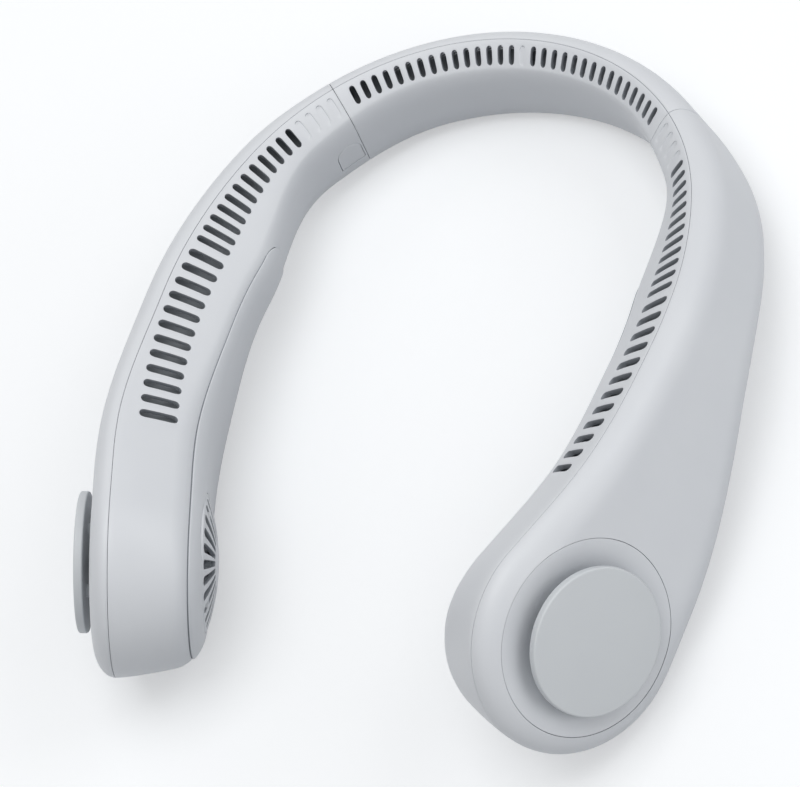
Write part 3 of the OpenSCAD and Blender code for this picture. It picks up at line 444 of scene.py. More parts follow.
    def low_of(self, s: float) -> Station:
        """Return the station on the plain underside at s."""
        return self.low_at((s - self.low_start) / (self.low_start - self.joint_s))

    def outer_pt(self, st: Station, d: float) -> Vector:
        """Return a point of the outer roll or face.

        Args:
            st: Station on the outline.
            d: Distance in from the outline.

        Returns:
            The point in metres.
        """
        s, low = st.s + d * st.ds, self.seam_a(st.s)
        rise = (self.outer_roll - min(d, self.outer_roll)) / self.outer_roll
        a = mix(low, self.outer_a(s), math.sqrt(max(0.0, 1 - rise * rise)))
        return self.path.put(s, st.b + d * st.db, a)

    def strip_d(self, st: Station, a: float) -> float:
        """Return the fall of the slotted strip.

        Args:
            st: Station on the outline.
            a: Depth of the place on the strip.

        Returns:
            The distance in from the outline.
        """
        seam = self.seam_a(st.s)
        share = max(0.0, (a - seam) / (self.edge_a(st.s) - seam))
        return self.drop(st) * share ** self.strip_bow

    def strip_pt(self, st: Station, a: float, dip: float = 0.0) -> Vector:
        """Return a point of the slotted strip at the depth a, sunk by a dip."""
        d = self.strip_d(st, a) + dip
        return self.path.put(st.s + d * st.ds, st.b + d * st.db, a)

    def roll_pt(self, st: Station, t: float, proud: float = 0.0) -> Vector:
        """Return a point of the inner roll.

        Args:
            st: Station on the outline.
            t: Turn from the strip, 0, to the inner face, 90 degrees.
            proud: Height above the skin.

        Returns:
            The point in metres.
        """
        edge, inner, fall = self.edge_a(st.s), self.inner_a(st.s), self.drop(st)
        r = math.radians(t)
        width = edge - inner + proud
        slope = self.strip_bow * fall / (self.seam_a(st.s) - edge)
        d = (fall + self.roll_h(st.s) * (1 - math.cos(r)) - proud * math.cos(r)
             + slope * (edge - inner) * math.sin(r) * math.cos(r))
        return self.path.put(st.s + d * st.ds, st.b + d * st.db, edge - width * math.sin(r))

    def roll_end(self, st: Station) -> tuple[float, float]:
        """Return where the inner roll has become the inner face, in s and b."""
        d = self.drop(st) + self.roll_h(st.s)
        return st.s + d * st.ds, st.b + d * st.db

    def inner_pt(self, q: tuple[float, float], proud: float = 0.0) -> Vector:
        """Return a point of the inner face at a place in s and b."""
        return self.path.put(q[0], q[1], self.inner_a(q[0]) - proud)


BAND = Band()


def deselect() -> None:
    """Leave edit mode and select nothing."""
    if bpy.context.object and bpy.context.object.mode != "OBJECT":
        bpy.ops.object.mode_set(mode="OBJECT")
    bpy.ops.object.select_all(action="DESELECT")


def pick(piece: bpy.types.Object) -> None:
    """Make a piece the only one selected, and active.

    Args:
        piece: The piece that the next operators work on.
    """
    deselect()
    piece.select_set(True)
    bpy.context.view_layer.objects.active = piece


def named(name: str) -> bpy.types.Object:
    """Name the active object and its mesh.

    Args:
        name: Name of both.

    Returns:
        The active object.
    """
    piece = bpy.context.active_object
    piece.name = name
    piece.data.name = name
    return piece


def edit(piece: bpy.types.Object, work: Callable[[], None], everything: bool = True) -> None:
    """Run operators on a piece in edit mode.

    Args:
        piece: The piece to edit.
        work: Calls of mesh operators.
        everything: Whether all of the mesh is selected first.
    """
    pick(piece)
    bpy.ops.object.mode_set(mode="EDIT")
    if everything:
        bpy.ops.mesh.select_all(action="SELECT")
    work()
    bpy.ops.object.mode_set(mode="OBJECT")


def modify(piece: bpy.types.Object, kind: str, **settings: Any) -> None:
    """Add a modifier and apply it.

    Args:
        piece: The piece to change.
        kind: Type name of the modifier.
        **settings: Properties of the modifier.
    """
    pick(piece)
    modifier = piece.modifiers.new(kind.title(), kind)
    for key, value in settings.items():
        setattr(modifier, key, value)
    bpy.ops.object.modifier_apply(modifier=modifier.name)


def merge(piece: bpy.types.Object, outside: bool, gap: float = 0.004) -> None:
    """Merge doubled points.

    Args:
        piece: The piece to change.
        outside: Whether loose parts go too, and the faces are turned outwards.
        gap: Distance in millimetres under which points are merged.
    """
    def work() -> None:
        bpy.ops.mesh.remove_doubles(threshold=gap * MM)
        if outside:
            bpy.ops.mesh.delete_loose(use_verts=True, use_edges=True, use_faces=False)
            bpy.ops.mesh.select_all(action="SELECT")
            bpy.ops.mesh.normals_make_consistent(inside=False)
    edit(piece, work)


def smooth(piece: bpy.types.Object) -> None:
    """Shade a piece smooth except at its creases."""
    pick(piece)
    bpy.ops.object.shade_smooth_by_angle(angle=CREASE)


def place(piece: bpy.types.Object, matrix: Matrix) -> None:
    """Move a piece's mesh to its place, and keep its faces pointing outwards.

    Args:
        piece: The piece, which stays at the origin itself.
        matrix: Where its mesh goes; this can be a mirror image.
    """
    piece.data.transform(matrix)
    if matrix.determinant() < 0:
        piece.data.flip_normals()
    piece.data.update()


def shift(piece: bpy.types.Object, x: float, y: float = 0.0) -> None:
    """Shift a piece's mesh by x and y in millimetres."""
    place(piece, Matrix.Translation((x * MM, y * MM, 0)))


def copied(piece: bpy.types.Object, name: str, matrix: Matrix) -> bpy.types.Object:
    """Copy a piece with a mesh of its own.

    Args:
        piece: The piece to copy.
        name: Name of the copy.
        matrix: Where the copy's mesh goes.

    Returns:
        The copy.
    """
    pick(piece)
    bpy.ops.object.duplicate()
    twin = named(name)
    place(twin, matrix)
    return twin


def in_threes(piece: bpy.types.Object) -> list[bpy.types.Object]:
    """Return a piece and two copies, a third of a turn apart round the local Z axis."""
    return [piece] + [copied(piece, piece.name, Matrix.Rotation(math.radians(turn), 4, "Z"))
                      for turn in (120, 240)]


def join(name: str, parts: Sequence[bpy.types.Object]) -> bpy.types.Object:
    """Join parts into one object.

    Args:
        name: Name of the whole.
        parts: The parts, which are used up.

    Returns:
        The whole.
    """
    deselect()
    for part in parts:
        part.select_set(True)
    bpy.context.view_layer.objects.active = parts[0]
    bpy.ops.object.join()
    return named(name)


def combine(piece: bpy.types.Object, other: bpy.types.Object,
            operation: str = "DIFFERENCE") -> None:
    """Cut one piece with another or unite them; the other is used up."""
    modify(piece, "BOOLEAN", operation=operation, object=other, solver="MANIFOLD")
    bpy.data.objects.remove(other, do_unlink=True)


def nowhere(i: int, j: int) -> bool:
    """Say no for every face of a sheet."""
    return False


def lay_sheet(name: str, rows: Grid, outside: Vector, probe: tuple[int, int],
              gone: Where = nowhere, shaded: Where = nowhere) -> bpy.types.Object:
    """Lay a grid primitive over a surface and open its holes.

    Args:
        name: Name of the piece.
        rows: Points of the surface, station by station.
        outside: A point outside the surface near the probe.
        probe: Indices of a face that stays.
        gone: Says whether the face after point i, j is left open.
        shaded: Says whether the face after point i, j gets the painted shade of the rims.

    Returns:
        The open sheet, its faces pointing outwards.
    """
    n, m = len(rows), len(rows[0])
    deselect()
    bpy.ops.mesh.primitive_grid_add(x_subdivisions=m - 1, y_subdivisions=n - 1, size=1)
    piece = named(name)
    mesh = piece.data
    mesh.vertices.foreach_set("co", [c for row in rows for p in row for c in p])
    face = mesh.polygons[probe[0] * (m - 1) + probe[1]]
    mesh.update()
    turned = face.normal.dot(outside - face.center) < 0
    # Slot 1 holds painted shade, the darker grey that the wall's rims and shaded faces get
    WALL_SHADE_PAINT.dress_shaded_rims(piece)
    for polygon in mesh.polygons:
        at = divmod(polygon.index, m - 1)
        polygon.select = gone(*at)
        # Shaded faces take slot 1, the painted shade
        polygon.material_index = int(shaded(*at))
    if any(polygon.select for polygon in mesh.polygons):
        bpy.context.tool_settings.mesh_select_mode = (False, False, True)
        edit(piece, lambda: bpy.ops.mesh.delete(type="FACE"), everything=False)
    if turned:
        edit(piece, lambda: bpy.ops.mesh.flip_normals())
    merge(piece, outside=False)
    return piece


def soften(piece: bpy.types.Object, lip: float) -> None:
    """Round a piece's sharp edges and shade it smooth.

    Args:
        piece: The closed piece.
        lip: Width of the rounding in millimetres.
    """
    modify(piece, "BEVEL", width=lip * MM, segments=2, limit_method="ANGLE", angle_limit=SHARP,
           use_clamp_overlap=False, miter_outer="MITER_ARC", material=0)
    smooth(piece)


def thicken(piece: bpy.types.Object, wall: float, lip: float, even: bool = True) -> None:
    """Give a sheet its wall, with painted shade on the wall's rims, and soften every edge.

    Args:
        piece: The open sheet.
        wall: Thickness in millimetres.
        lip: Width of the rounding in millimetres.
        even: Whether the wall keeps its thickness round corners.
    """
    # The wall's rims, the sides of slots and the edges, take slot 1: painted shade
    modify(piece, "SOLIDIFY", thickness=wall * MM, offset=-1.0, use_even_offset=even,
           use_quality_normals=True, material_offset_rim=1)
    soften(piece, lip)


def spun(name: str, profile: Profile, steps: int = 144) -> bpy.types.Object:
    """Spin a closed profile round the local Z axis.

    Args:
        name: Name of the piece.
        profile: Radius and height of each point, in millimetres.
        steps: Number of steps round.

    Returns:
        The closed round piece, in metres.
    """
    deselect()
    bpy.ops.mesh.primitive_circle_add(vertices=len(profile), radius=1, fill_type="NOTHING")
    piece = named(name)
    for vertex, (r, z) in zip(piece.data.vertices, profile):
        vertex.co = Vector((r, 0, z)) * MM
    edit(piece, lambda: bpy.ops.mesh.spin(steps=steps, angle=2 * math.pi, center=(0, 0, 0),
                                          axis=(0, 0, 1)))
    merge(piece, outside=True, gap=0.002)
    return piece


def rounded(points: Profile, radius: float, steps: int = 4) -> Profile:
    """Round the corners of a closed profile.

    Args:
        points: Corners in millimetres.
        radius: Radius of the rounding.
        steps: Segments of each rounding.

    Returns:
        The rounded profile.
    """
    out: list[tuple[float, float]] = []
    for k, corner in enumerate(points):
        here = Vector(corner)
        before, after = Vector(points[k - 1]), Vector(points[(k + 1) % len(points)])
        reach = min(radius, (before - here).length / 2, (after - here).length / 2)
        p = here + (before - here).normalized() * reach
        q = here + (after - here).normalized() * reach
        for u in spread(0, 1, steps):
            w = p * (1 - u) ** 2 + here * (2 * u * (1 - u)) + q * u ** 2
            out.append((w.x, w.y))
    return out


def drum(name: str, r: float, low: float, high: float, lip: float = 0.0, sides: int = 96,
         segments: int = 5) -> bpy.types.Object:
    """Make a round block with bevelled rims.

    Args:
        name: Name of the piece.
        r: Radius in millimetres.
        low: Height of its underside.
        high: Height of its top.
        lip: Width of the bevel, or 0 for sharp rims.
        sides: Number of sides.
        segments: Segments of the bevel.

    Returns:
        The block, in metres.
    """
    deselect()
    bpy.ops.mesh.primitive_cylinder_add(vertices=sides, radius=r * MM, depth=(high - low) * MM,
                                        location=(0, 0, (low + high) / 2 * MM))
    piece = named(name)
    bpy.ops.object.transform_apply(location=True, rotation=True, scale=True)
    if lip:
        modify(piece, "BEVEL", width=lip * MM, segments=segments, limit_method="ANGLE",
               angle_limit=SHARP)
    return piece


def block(name: str, low: Sequence[float], high: Sequence[float], lip: float) -> bpy.types.Object:
    """Make a bevelled block.

    Args:
        name: Name of the piece.
        low: Its lowest corner in millimetres.
        high: Its highest corner.
        lip: Width of the bevel.

    Returns:
        The block, in metres.
    """
    deselect()
    bpy.ops.mesh.primitive_cube_add(size=1)
    piece = named(name)
    size = [(h - l) * MM for l, h in zip(low, high)]
    middle = [(h + l) / 2 * MM for l, h in zip(low, high)]
    place(piece, Matrix.Translation(middle) @ Matrix.Diagonal((*size, 1)))
    modify(piece, "BEVEL", width=lip * MM, segments=3)
    return piece


def linear(code: str) -> tuple[float, float, float, float]:
    """Turn an sRGB hex colour into linear values with an alpha of 1."""
    channels = [int(code.lstrip("#")[k:k + 2], 16) / 255 for k in (0, 2, 4)]
    return (*[c / 12.92 if c <= 0.04045 else ((c + 0.055) / 1.055) ** 2.4 for c in channels], 1.0)


def add_node(tree: bpy.types.NodeTree, kind: str, settings: Optional[dict[str, Any]] = None,
             numbered: Optional[dict[int, Any]] = None, **inputs: Any) -> bpy.types.Node:
    """Add a node with its settings, values and links.

    Args:
        tree: Node tree to add it to.
        kind: Type name of the node.
        settings: Properties of the node.
        numbered: Inputs that share a name, by their number.
        **inputs: Other inputs by name, with underscores for spaces. An input takes a value
            or (node, output).

    Returns:
        The new node.
    """
    node = tree.nodes.new(kind)
    for key, value in (settings or {}).items():
        setattr(node, key, value)
    wanted = [(node.inputs[number], value) for number, value in (numbered or {}).items()]
    for key, value in inputs.items():
        words = key.replace("_", " ")
        wanted.append((next(s for s in node.inputs if s.name == words and s.enabled), value))
    for socket, value in wanted:
        if isinstance(value, tuple) and isinstance(value[0], bpy.types.Node):
            tree.links.new(value[0].outputs[value[1]], socket)
        else:
            socket.default_value = value
    return node


class Finish:
    """A finish that makes its material once and gives it to pieces."""

    name: str
    colour: str

    def build(self, tree: bpy.types.NodeTree) -> bpy.types.Node:
        """Add the finish's nodes and return its shader."""
        raise NotImplementedError

    def material(self) -> bpy.types.Material:
        """Make the finish's material on first use.

        Returns:
            The material, the same one each time.
        """
        found = bpy.data.materials.get(self.name)
        if found:
            return found
        made = bpy.data.materials.new(self.name)
        made.use_nodes = True
        made.node_tree.nodes.clear()
        shader = self.build(made.node_tree)
        add_node(made.node_tree, "ShaderNodeOutputMaterial", Surface=(shader, 0))
        made.diffuse_color = linear(self.colour)
        return made

    def dress(self, piece: bpy.types.Object) -> None:
        """Give the finish to a piece, and leave the painted shade that its cut rims have.

        Args:
            piece: The piece to dress.
        """
        if not piece.material_slots:
            piece.data.materials.append(self.material())
        for slot in piece.material_slots:
            if not slot.material or slot.material.name != WALL_SHADE_PAINT.name:
                slot.material = self.material()

    def dress_shaded_rims(self, piece: bpy.types.Object) -> None:
        """Give the finish to the rims that a sheet gets with its wall; it gives them painted
        shade.
        """
        piece.data.materials.append(None)
        piece.data.materials.append(self.material())


@dataclass(frozen=True)
class MouldedPlastic(Finish):
    """Injection-moulded ABS: an even satin skin with a fine spark-eroded grain."""

    name: str
    colour: str
    shade: str
    roughness: float
    coat: float = 0.0
    flow_mm: float = 18.0
    grain_mm: float = 0.22
    grain_height: float = 0.012
    gloss_change: float = 0.04

    def build(self, tree: bpy.types.NodeTree) -> bpy.types.Node:
        """Add the plastic's nodes: a faint flow mottle, a fine grain and a satin gloss.

        Args:
            tree: Node tree of the material.

        Returns:
            The shader.
        """
        spot = (add_node(tree, "ShaderNodeTexCoord"), "Object")
        # Flow marks of the moulding, broad and hardly darker than the skin
        flow = add_node(tree, "ShaderNodeTexNoise", Vector=spot, Scale=1 / (self.flow_mm * MM),
                        Detail=2.0, Roughness=0.5)
        tone = add_node(tree, "ShaderNodeMix", {"data_type": "RGBA"},
                        {6: linear(self.shade), 7: linear(self.colour)}, Factor=(flow, "Fac"))
        # Grain of the mould, drawn at twice its real 0.1 mm so that it shows
        grain = add_node(tree, "ShaderNodeTexNoise", Vector=spot, Scale=1 / (self.grain_mm * MM),
                         Detail=1.0, Roughness=0.6)
        gloss = add_node(tree, "ShaderNodeMapRange", Value=(grain, "Fac"),
                         To_Min=self.roughness - self.gloss_change,
                         To_Max=self.roughness + self.gloss_change)
        bump = add_node(tree, "ShaderNodeBump", Height=(grain, "Fac"), Strength=0.35,
                        Distance=self.grain_height * MM)
        return add_node(tree, "ShaderNodeBsdfPrincipled", Base_Color=(tone, 2), IOR=1.53,
                        Roughness=(gloss, "Result"), Coat_Weight=self.coat,
                        Coat_Roughness=0.25, Normal=(bump, "Normal"))


@dataclass(frozen=True)
class TurnedMetal(Finish):
    """Turned or stamped metal: fine lines and a clear glint."""

    name: str
    colour: str
    roughness: float
    line_mm: float = 0.25
    line_height: float = 0.01
    polished: float = 0.08
    dulled: float = 0.1

    def build(self, tree: bpy.types.NodeTree) -> bpy.types.Node:
        """Add the metal's nodes: fine tool lines in its gloss and relief.

        Args:
            tree: Node tree of the material.

        Returns:
            The shader.
        """
        spot = (add_node(tree, "ShaderNodeTexCoord"), "Object")
        lines = add_node(tree, "ShaderNodeTexNoise", Vector=spot, Scale=1 / (self.line_mm * MM),
                         Detail=3.0, Roughness=0.7)
        gloss = add_node(tree, "ShaderNodeMapRange", Value=(lines, "Fac"),
                         To_Min=self.roughness - self.polished,
                         To_Max=self.roughness + self.dulled)
        bump = add_node(tree, "ShaderNodeBump", Height=(lines, "Fac"), Strength=0.25,
                        Distance=self.line_height * MM)
        return add_node(tree, "ShaderNodeBsdfPrincipled", Base_Color=linear(self.colour),
                        Metallic=1.0, Roughness=(gloss, "Result"), Normal=(bump, "Normal"))


# Cool off-white skin of the shells and covers, with a soft broad highlight
SHELL = MouldedPlastic("satin moulded ABS", "#e1e4e8", "#dcdfe4", 0.40)
# A shade greyer and duller, so that the raised discs stand off the dishes
DISC = MouldedPlastic("fine satin ABS", "#d7dbde", "#d2d6da", 0.44)
# Grey of the impeller, darkened as painted shade so that the air openings look deep
BLADE = MouldedPlastic("dark impeller ABS", "#7d838a", "#757b83", 0.5)
# Painted shade: a darker grey for the walls of slots, grooves, seams and bores, where shade falls,
# which draws the slots and seams
WALL_SHADE_PAINT = MouldedPlastic("painted wall shade ABS", "#9a9fa5", "#969ba2", 0.5)
# Dull grey of the parts behind the slots
INNER = MouldedPlastic("grey inner ABS", "#9a9fa4", "#94999e", 0.55)
# Black of cable, switch and sleeves, without a glint
DARK = MouldedPlastic("black nylon", "#26282c", "#202226", 0.55)
# Lacquered green, wet-looking under its coat
BOARD = MouldedPlastic("green solder mask", "#1d5a34", "#1a5130", 0.3, coat=0.5)
# Blue sleeve of the batteries, with the shine of a thin film
WRAP = MouldedPlastic("shrink wrap", "#2d6d86", "#29657c", 0.32, coat=0.3)
# Milky white that lies just lighter than the shell round it
CLEAR = MouldedPlastic("milky light guide", "#eef2f4", "#e8edf0", 0.25)
# Bright metals with a clear glint, and the matt grey of a pressed magnet
STEEL = TurnedMetal("stamped steel", "#b9bcc1", 0.34)
MAGNET = TurnedMetal("bonded ferrite", "#3b3c40", 0.55)
BRONZE = TurnedMetal("sintered bronze", "#a9814f", 0.45)
COPPER = TurnedMetal("enamelled copper", "#b5673a", 0.3)


def hand_over(piece: bpy.types.Object, node: str, finish: Finish = SHELL,
              body: str = "neckband") -> None:
    """Dress a finished piece and let it ride its body in place of its CAD node.

    Args:
        piece: The piece, at its place.
        node: Name of the CAD node that it replaces.
        finish: Its finish.
        body: Name of the body that it rides on.
    """
    finish.dress(piece)
    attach(piece, body)
    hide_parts(node)
    LOG.info("%s: %d faces", piece.name, len(piece.data.polygons))


def hand_over_pair(piece: bpy.types.Object, skin: str, node: str, finish: Finish = SHELL) -> None:
    """Mirror a copy of a left-hand piece to the right, and hand both over.

    Args:
        piece: The left-hand piece, at its place.
        skin: What the piece is called after its side's word.
        node: What the CAD node is called after its side's word.
        finish: Finish of both.
    """
    twin = copied(piece, f"{Side.RIGHT.word}_{skin}", Side.RIGHT.mirror)
    for side, each in zip(Side, (piece, twin)):
        hand_over(each, f"{side.word}_{node}", finish)


@dataclass(frozen=True)
class Mark:
    """A station's place on the slotted strip.

    It has the bulge of the round ends there, what it is, and how far it is across the
    opening, from -1 to 1.
    """

    s: float
    bulge: float = 0.0
    kind: Opening = Opening.RIB
    across: float = 0.0


@dataclass(frozen=True)
class Slots:
    """Air slots and blind grooves, in millimetres."""

    mid_count: int = 15
    mid_pitch: float = 4.0
    mid_w: float = 2.0
    fine_count: int = 12
    fine_start: float = 85.3
    fine_pitch: float = 4.24
    fine_w: float = 2.2
    coarse_count: int = 12
    coarse_step: float = 5.56
    coarse_pitch: float = 5.35
    coarse_w: float = 2.7
    widen_run: float = 8.0
    grooves: int = 4
    groove_depth: float = 0.4
    out_a: float = 8.3
    mid_in: float = 13.1
    joint_in: float = 13.7
    fine_in: float = 14.2
    coarse_in: float = 18.9
    cover_slot: int = 8

    @property
    def coarse_start(self) -> float:
        """Return the place of the first coarse slot."""
        return self.fine_start + (self.fine_count - 1) * self.fine_pitch + self.coarse_step

    @property
    def cover_s(self) -> float:
        """Return where the inner covers start."""
        return self.fine_start + (self.cover_slot - 0.5) * self.fine_pitch

    def inner_end(self, s: float) -> float:
        """Return the depth of the slots' inner ends.

        Args:
            s: Length along the path.

        Returns:
            The depth, below 0.
        """
        if abs(s) < BAND.joint_s:
            return -mix(self.mid_in, self.joint_in, BAND.joint_u(s))
        return -mix(self.fine_in, self.coarse_in, ease(abs(s), self.fine_start, self.coarse_start))

    def half(self, s: float) -> float:
        """Return half the slot width that the rows allow for.

        Args:
            s: Length along the path.

        Returns:
            Half the width.
        """
        if abs(s) < BAND.joint_s:
            return self.mid_w / 2
        start = self.coarse_start
        return mix(self.fine_w, self.coarse_w, ease(abs(s), start - self.widen_run, start)) / 2

    def arm(self) -> list[tuple[float, float, Opening]]:
        """Return place, width and kind of each opening along an arm."""
        out = [(self.fine_start + k * self.fine_pitch, self.fine_w,
                Opening.GROOVE if k < 0 else Opening.SLOT)
               for k in range(-self.grooves, self.fine_count)]
        return out + [(self.coarse_start + k * self.coarse_pitch, self.coarse_w, Opening.SLOT)
                      for k in range(self.coarse_count)]

    def middle(self) -> list[tuple[float, float, Opening]]:
        """Return place, width and kind of each opening of the middle section."""
        return [(k * self.mid_pitch, self.mid_w, Opening.SLOT if k else Opening.GROOVE)
                for k in range(-self.mid_count, self.mid_count + 1)]

    @staticmethod
    def marks(openings: Sequence[tuple[float, float, Opening]], start: float, end: float,
              step: float) -> list[Mark]:
        """Return the marks along a strip.

        Args:
            openings: Place, width and kind of each opening.
            start: Where the strip starts.
            end: Where it ends.
            step: Largest distance between marks on plain stretches.

        Returns:
            The marks in order, nine across each opening and some between.
        """
        out, last = [Mark(start)], start
        for middle, w, kind in openings:
            low = middle - w / 2
            count = max(2, math.ceil((low - last) / step))
            out += [Mark(s) for s in spread(last, low, count)[1:-1]]
            out += [Mark(middle + w / 2 * math.sin(t), w / 2 * math.cos(t), kind, math.sin(t))
                    for t in map(math.radians, (-90, -72, -50, -26, 0, 26, 50, 72, 90))]
            last = middle + w / 2
        count = max(1, math.ceil((end - last) / step))
        return out + [Mark(s) for s in spread(last, end, count)[1:]]


SLOTS = Slots()


@dataclass(frozen=True)
class Strip:
    """Rows of points across the slotted strip, with the round ends of its openings."""

    margin: float = 0.5
    ledge: float = 0.8
    groove_ledge: float = 0.12
    flat: float = 0.01
    fade: float = 0.7
    widest_step: float = 0.8
    plain_shares: tuple[float, float] = (0.3, 0.65)
    below_share: float = 0.6
    inside: int = 4
    first_open: int = 4
    rows_after: int = 4

    def is_sunk(self, mark: Mark) -> bool:
        """Say whether a mark is in a groove."""
        return mark.kind is Opening.GROOVE and mark.bulge > self.flat

    def depths(self, s: float, mark: Mark) -> list[float]:
        """Return the depth of each row at a mark.

        Args:
            s: Length along the path.
            mark: What the strip has there.

        Returns:
            The depths, from the seam to the strip's edge.
        """
        seam, edge = BAND.seam_a(s) - BAND.seam_gap, BAND.edge_a(s)
        taper_end = BAND.top_end[0]
        out, end = -SLOTS.out_a, SLOTS.inner_end(s if abs(s) < taper_end else taper_end)
        reach = SLOTS.half(s) - mark.bulge
        top, low = out - reach, end + reach
        ledge = self.groove_ledge if self.is_sunk(mark) else self.ledge
        below = max(end - self.margin, mix(end, edge, self.below_share))
        return [
            seam, *[mix(seam, out, u) for u in self.plain_shares], out + self.margin, top,
            *spread(top - ledge, low + ledge, self.inside + 1), low, below,
            mix(below, edge, 0.5), edge,
        ]

    def points(self, st: Station, mark: Mark) -> list[Vector]:
        """Return the strip's points at a station.

        Args:
            st: Station on the outline.
            mark: What the strip has there. A groove is deep on one side and at its outer end.

        Returns:
            The points, from the seam to the strip's edge.
        """
        rows = self.depths(st.s, mark)
        first, last = self.first_open, len(rows) - self.rows_after
        out = []
        for j, a in enumerate(rows):
            dip = 0.0
            if self.is_sunk(mark) and first < j < last:
                along = (j - first) / (last - first)
                dip = SLOTS.groove_depth * (1 - mark.across) / 2 * (1 - self.fade * along)
            out.append(BAND.strip_pt(st, a, dip))
        return out

    def across(self, marks: Sequence[Mark], i: int, j: int,
               kind: Opening) -> Optional[tuple[Mark, Mark]]:
        """Find the opening that a face is in.

        Args:
            marks: Marks along the strip.
            i: Mark before the face.
            j: Row before the face.
            kind: Kind of opening to look for.

        Returns:
            The two marks beside the face, or None if it is in no such opening.
        """
        if i + 1 < len(marks) and 0 <= j - self.first_open < self.inside + 3:
            pair = marks[i], marks[i + 1]
            if all(m.kind is kind for m in pair) and pair[1].s - pair[0].s < self.widest_step:
                return pair
        return None

    def is_open(self, marks: Sequence[Mark], i: int, j: int) -> bool:
        """Say whether the face after mark i and row j is part of a slot."""
        return self.across(marks, i, j, Opening.SLOT) is not None

    def gets_painted_shade(self, marks: Sequence[Mark], i: int, j: int) -> bool:
        """Say whether a face is the steep side of a groove, which gets painted shade.

        Args:
            marks: Marks along the strip.
            i: Mark before the face.
            j: Row before the face.

        Returns:
            True on the steep side and at the outer end.
        """
        pair = self.across(marks, i, j, Opening.GROOVE)
        return pair is not None and (pair[0].bulge < self.flat
                                     or (j == self.first_open and pair[0].across < 0.5))

    def sheet(self, name: str, rows: Grid, marks: Sequence[Mark]) -> bpy.types.Object:
        """Lay a slotted shell's sheet.

        Args:
            name: Name of the piece.
            rows: Points of the shell, station by station.
            marks: Marks of the stations along the strip.

        Returns:
            The sheet, with its slots open and painted shade on its grooves' steep sides.
        """
        return lay_sheet(name, rows, BAND.path.put(marks[2].s, -60, -12), (2, 2),
                         lambda i, j: self.is_open(marks, i, j),
                         lambda i, j: self.gets_painted_shade(marks, i, j))


STRIP = Strip()


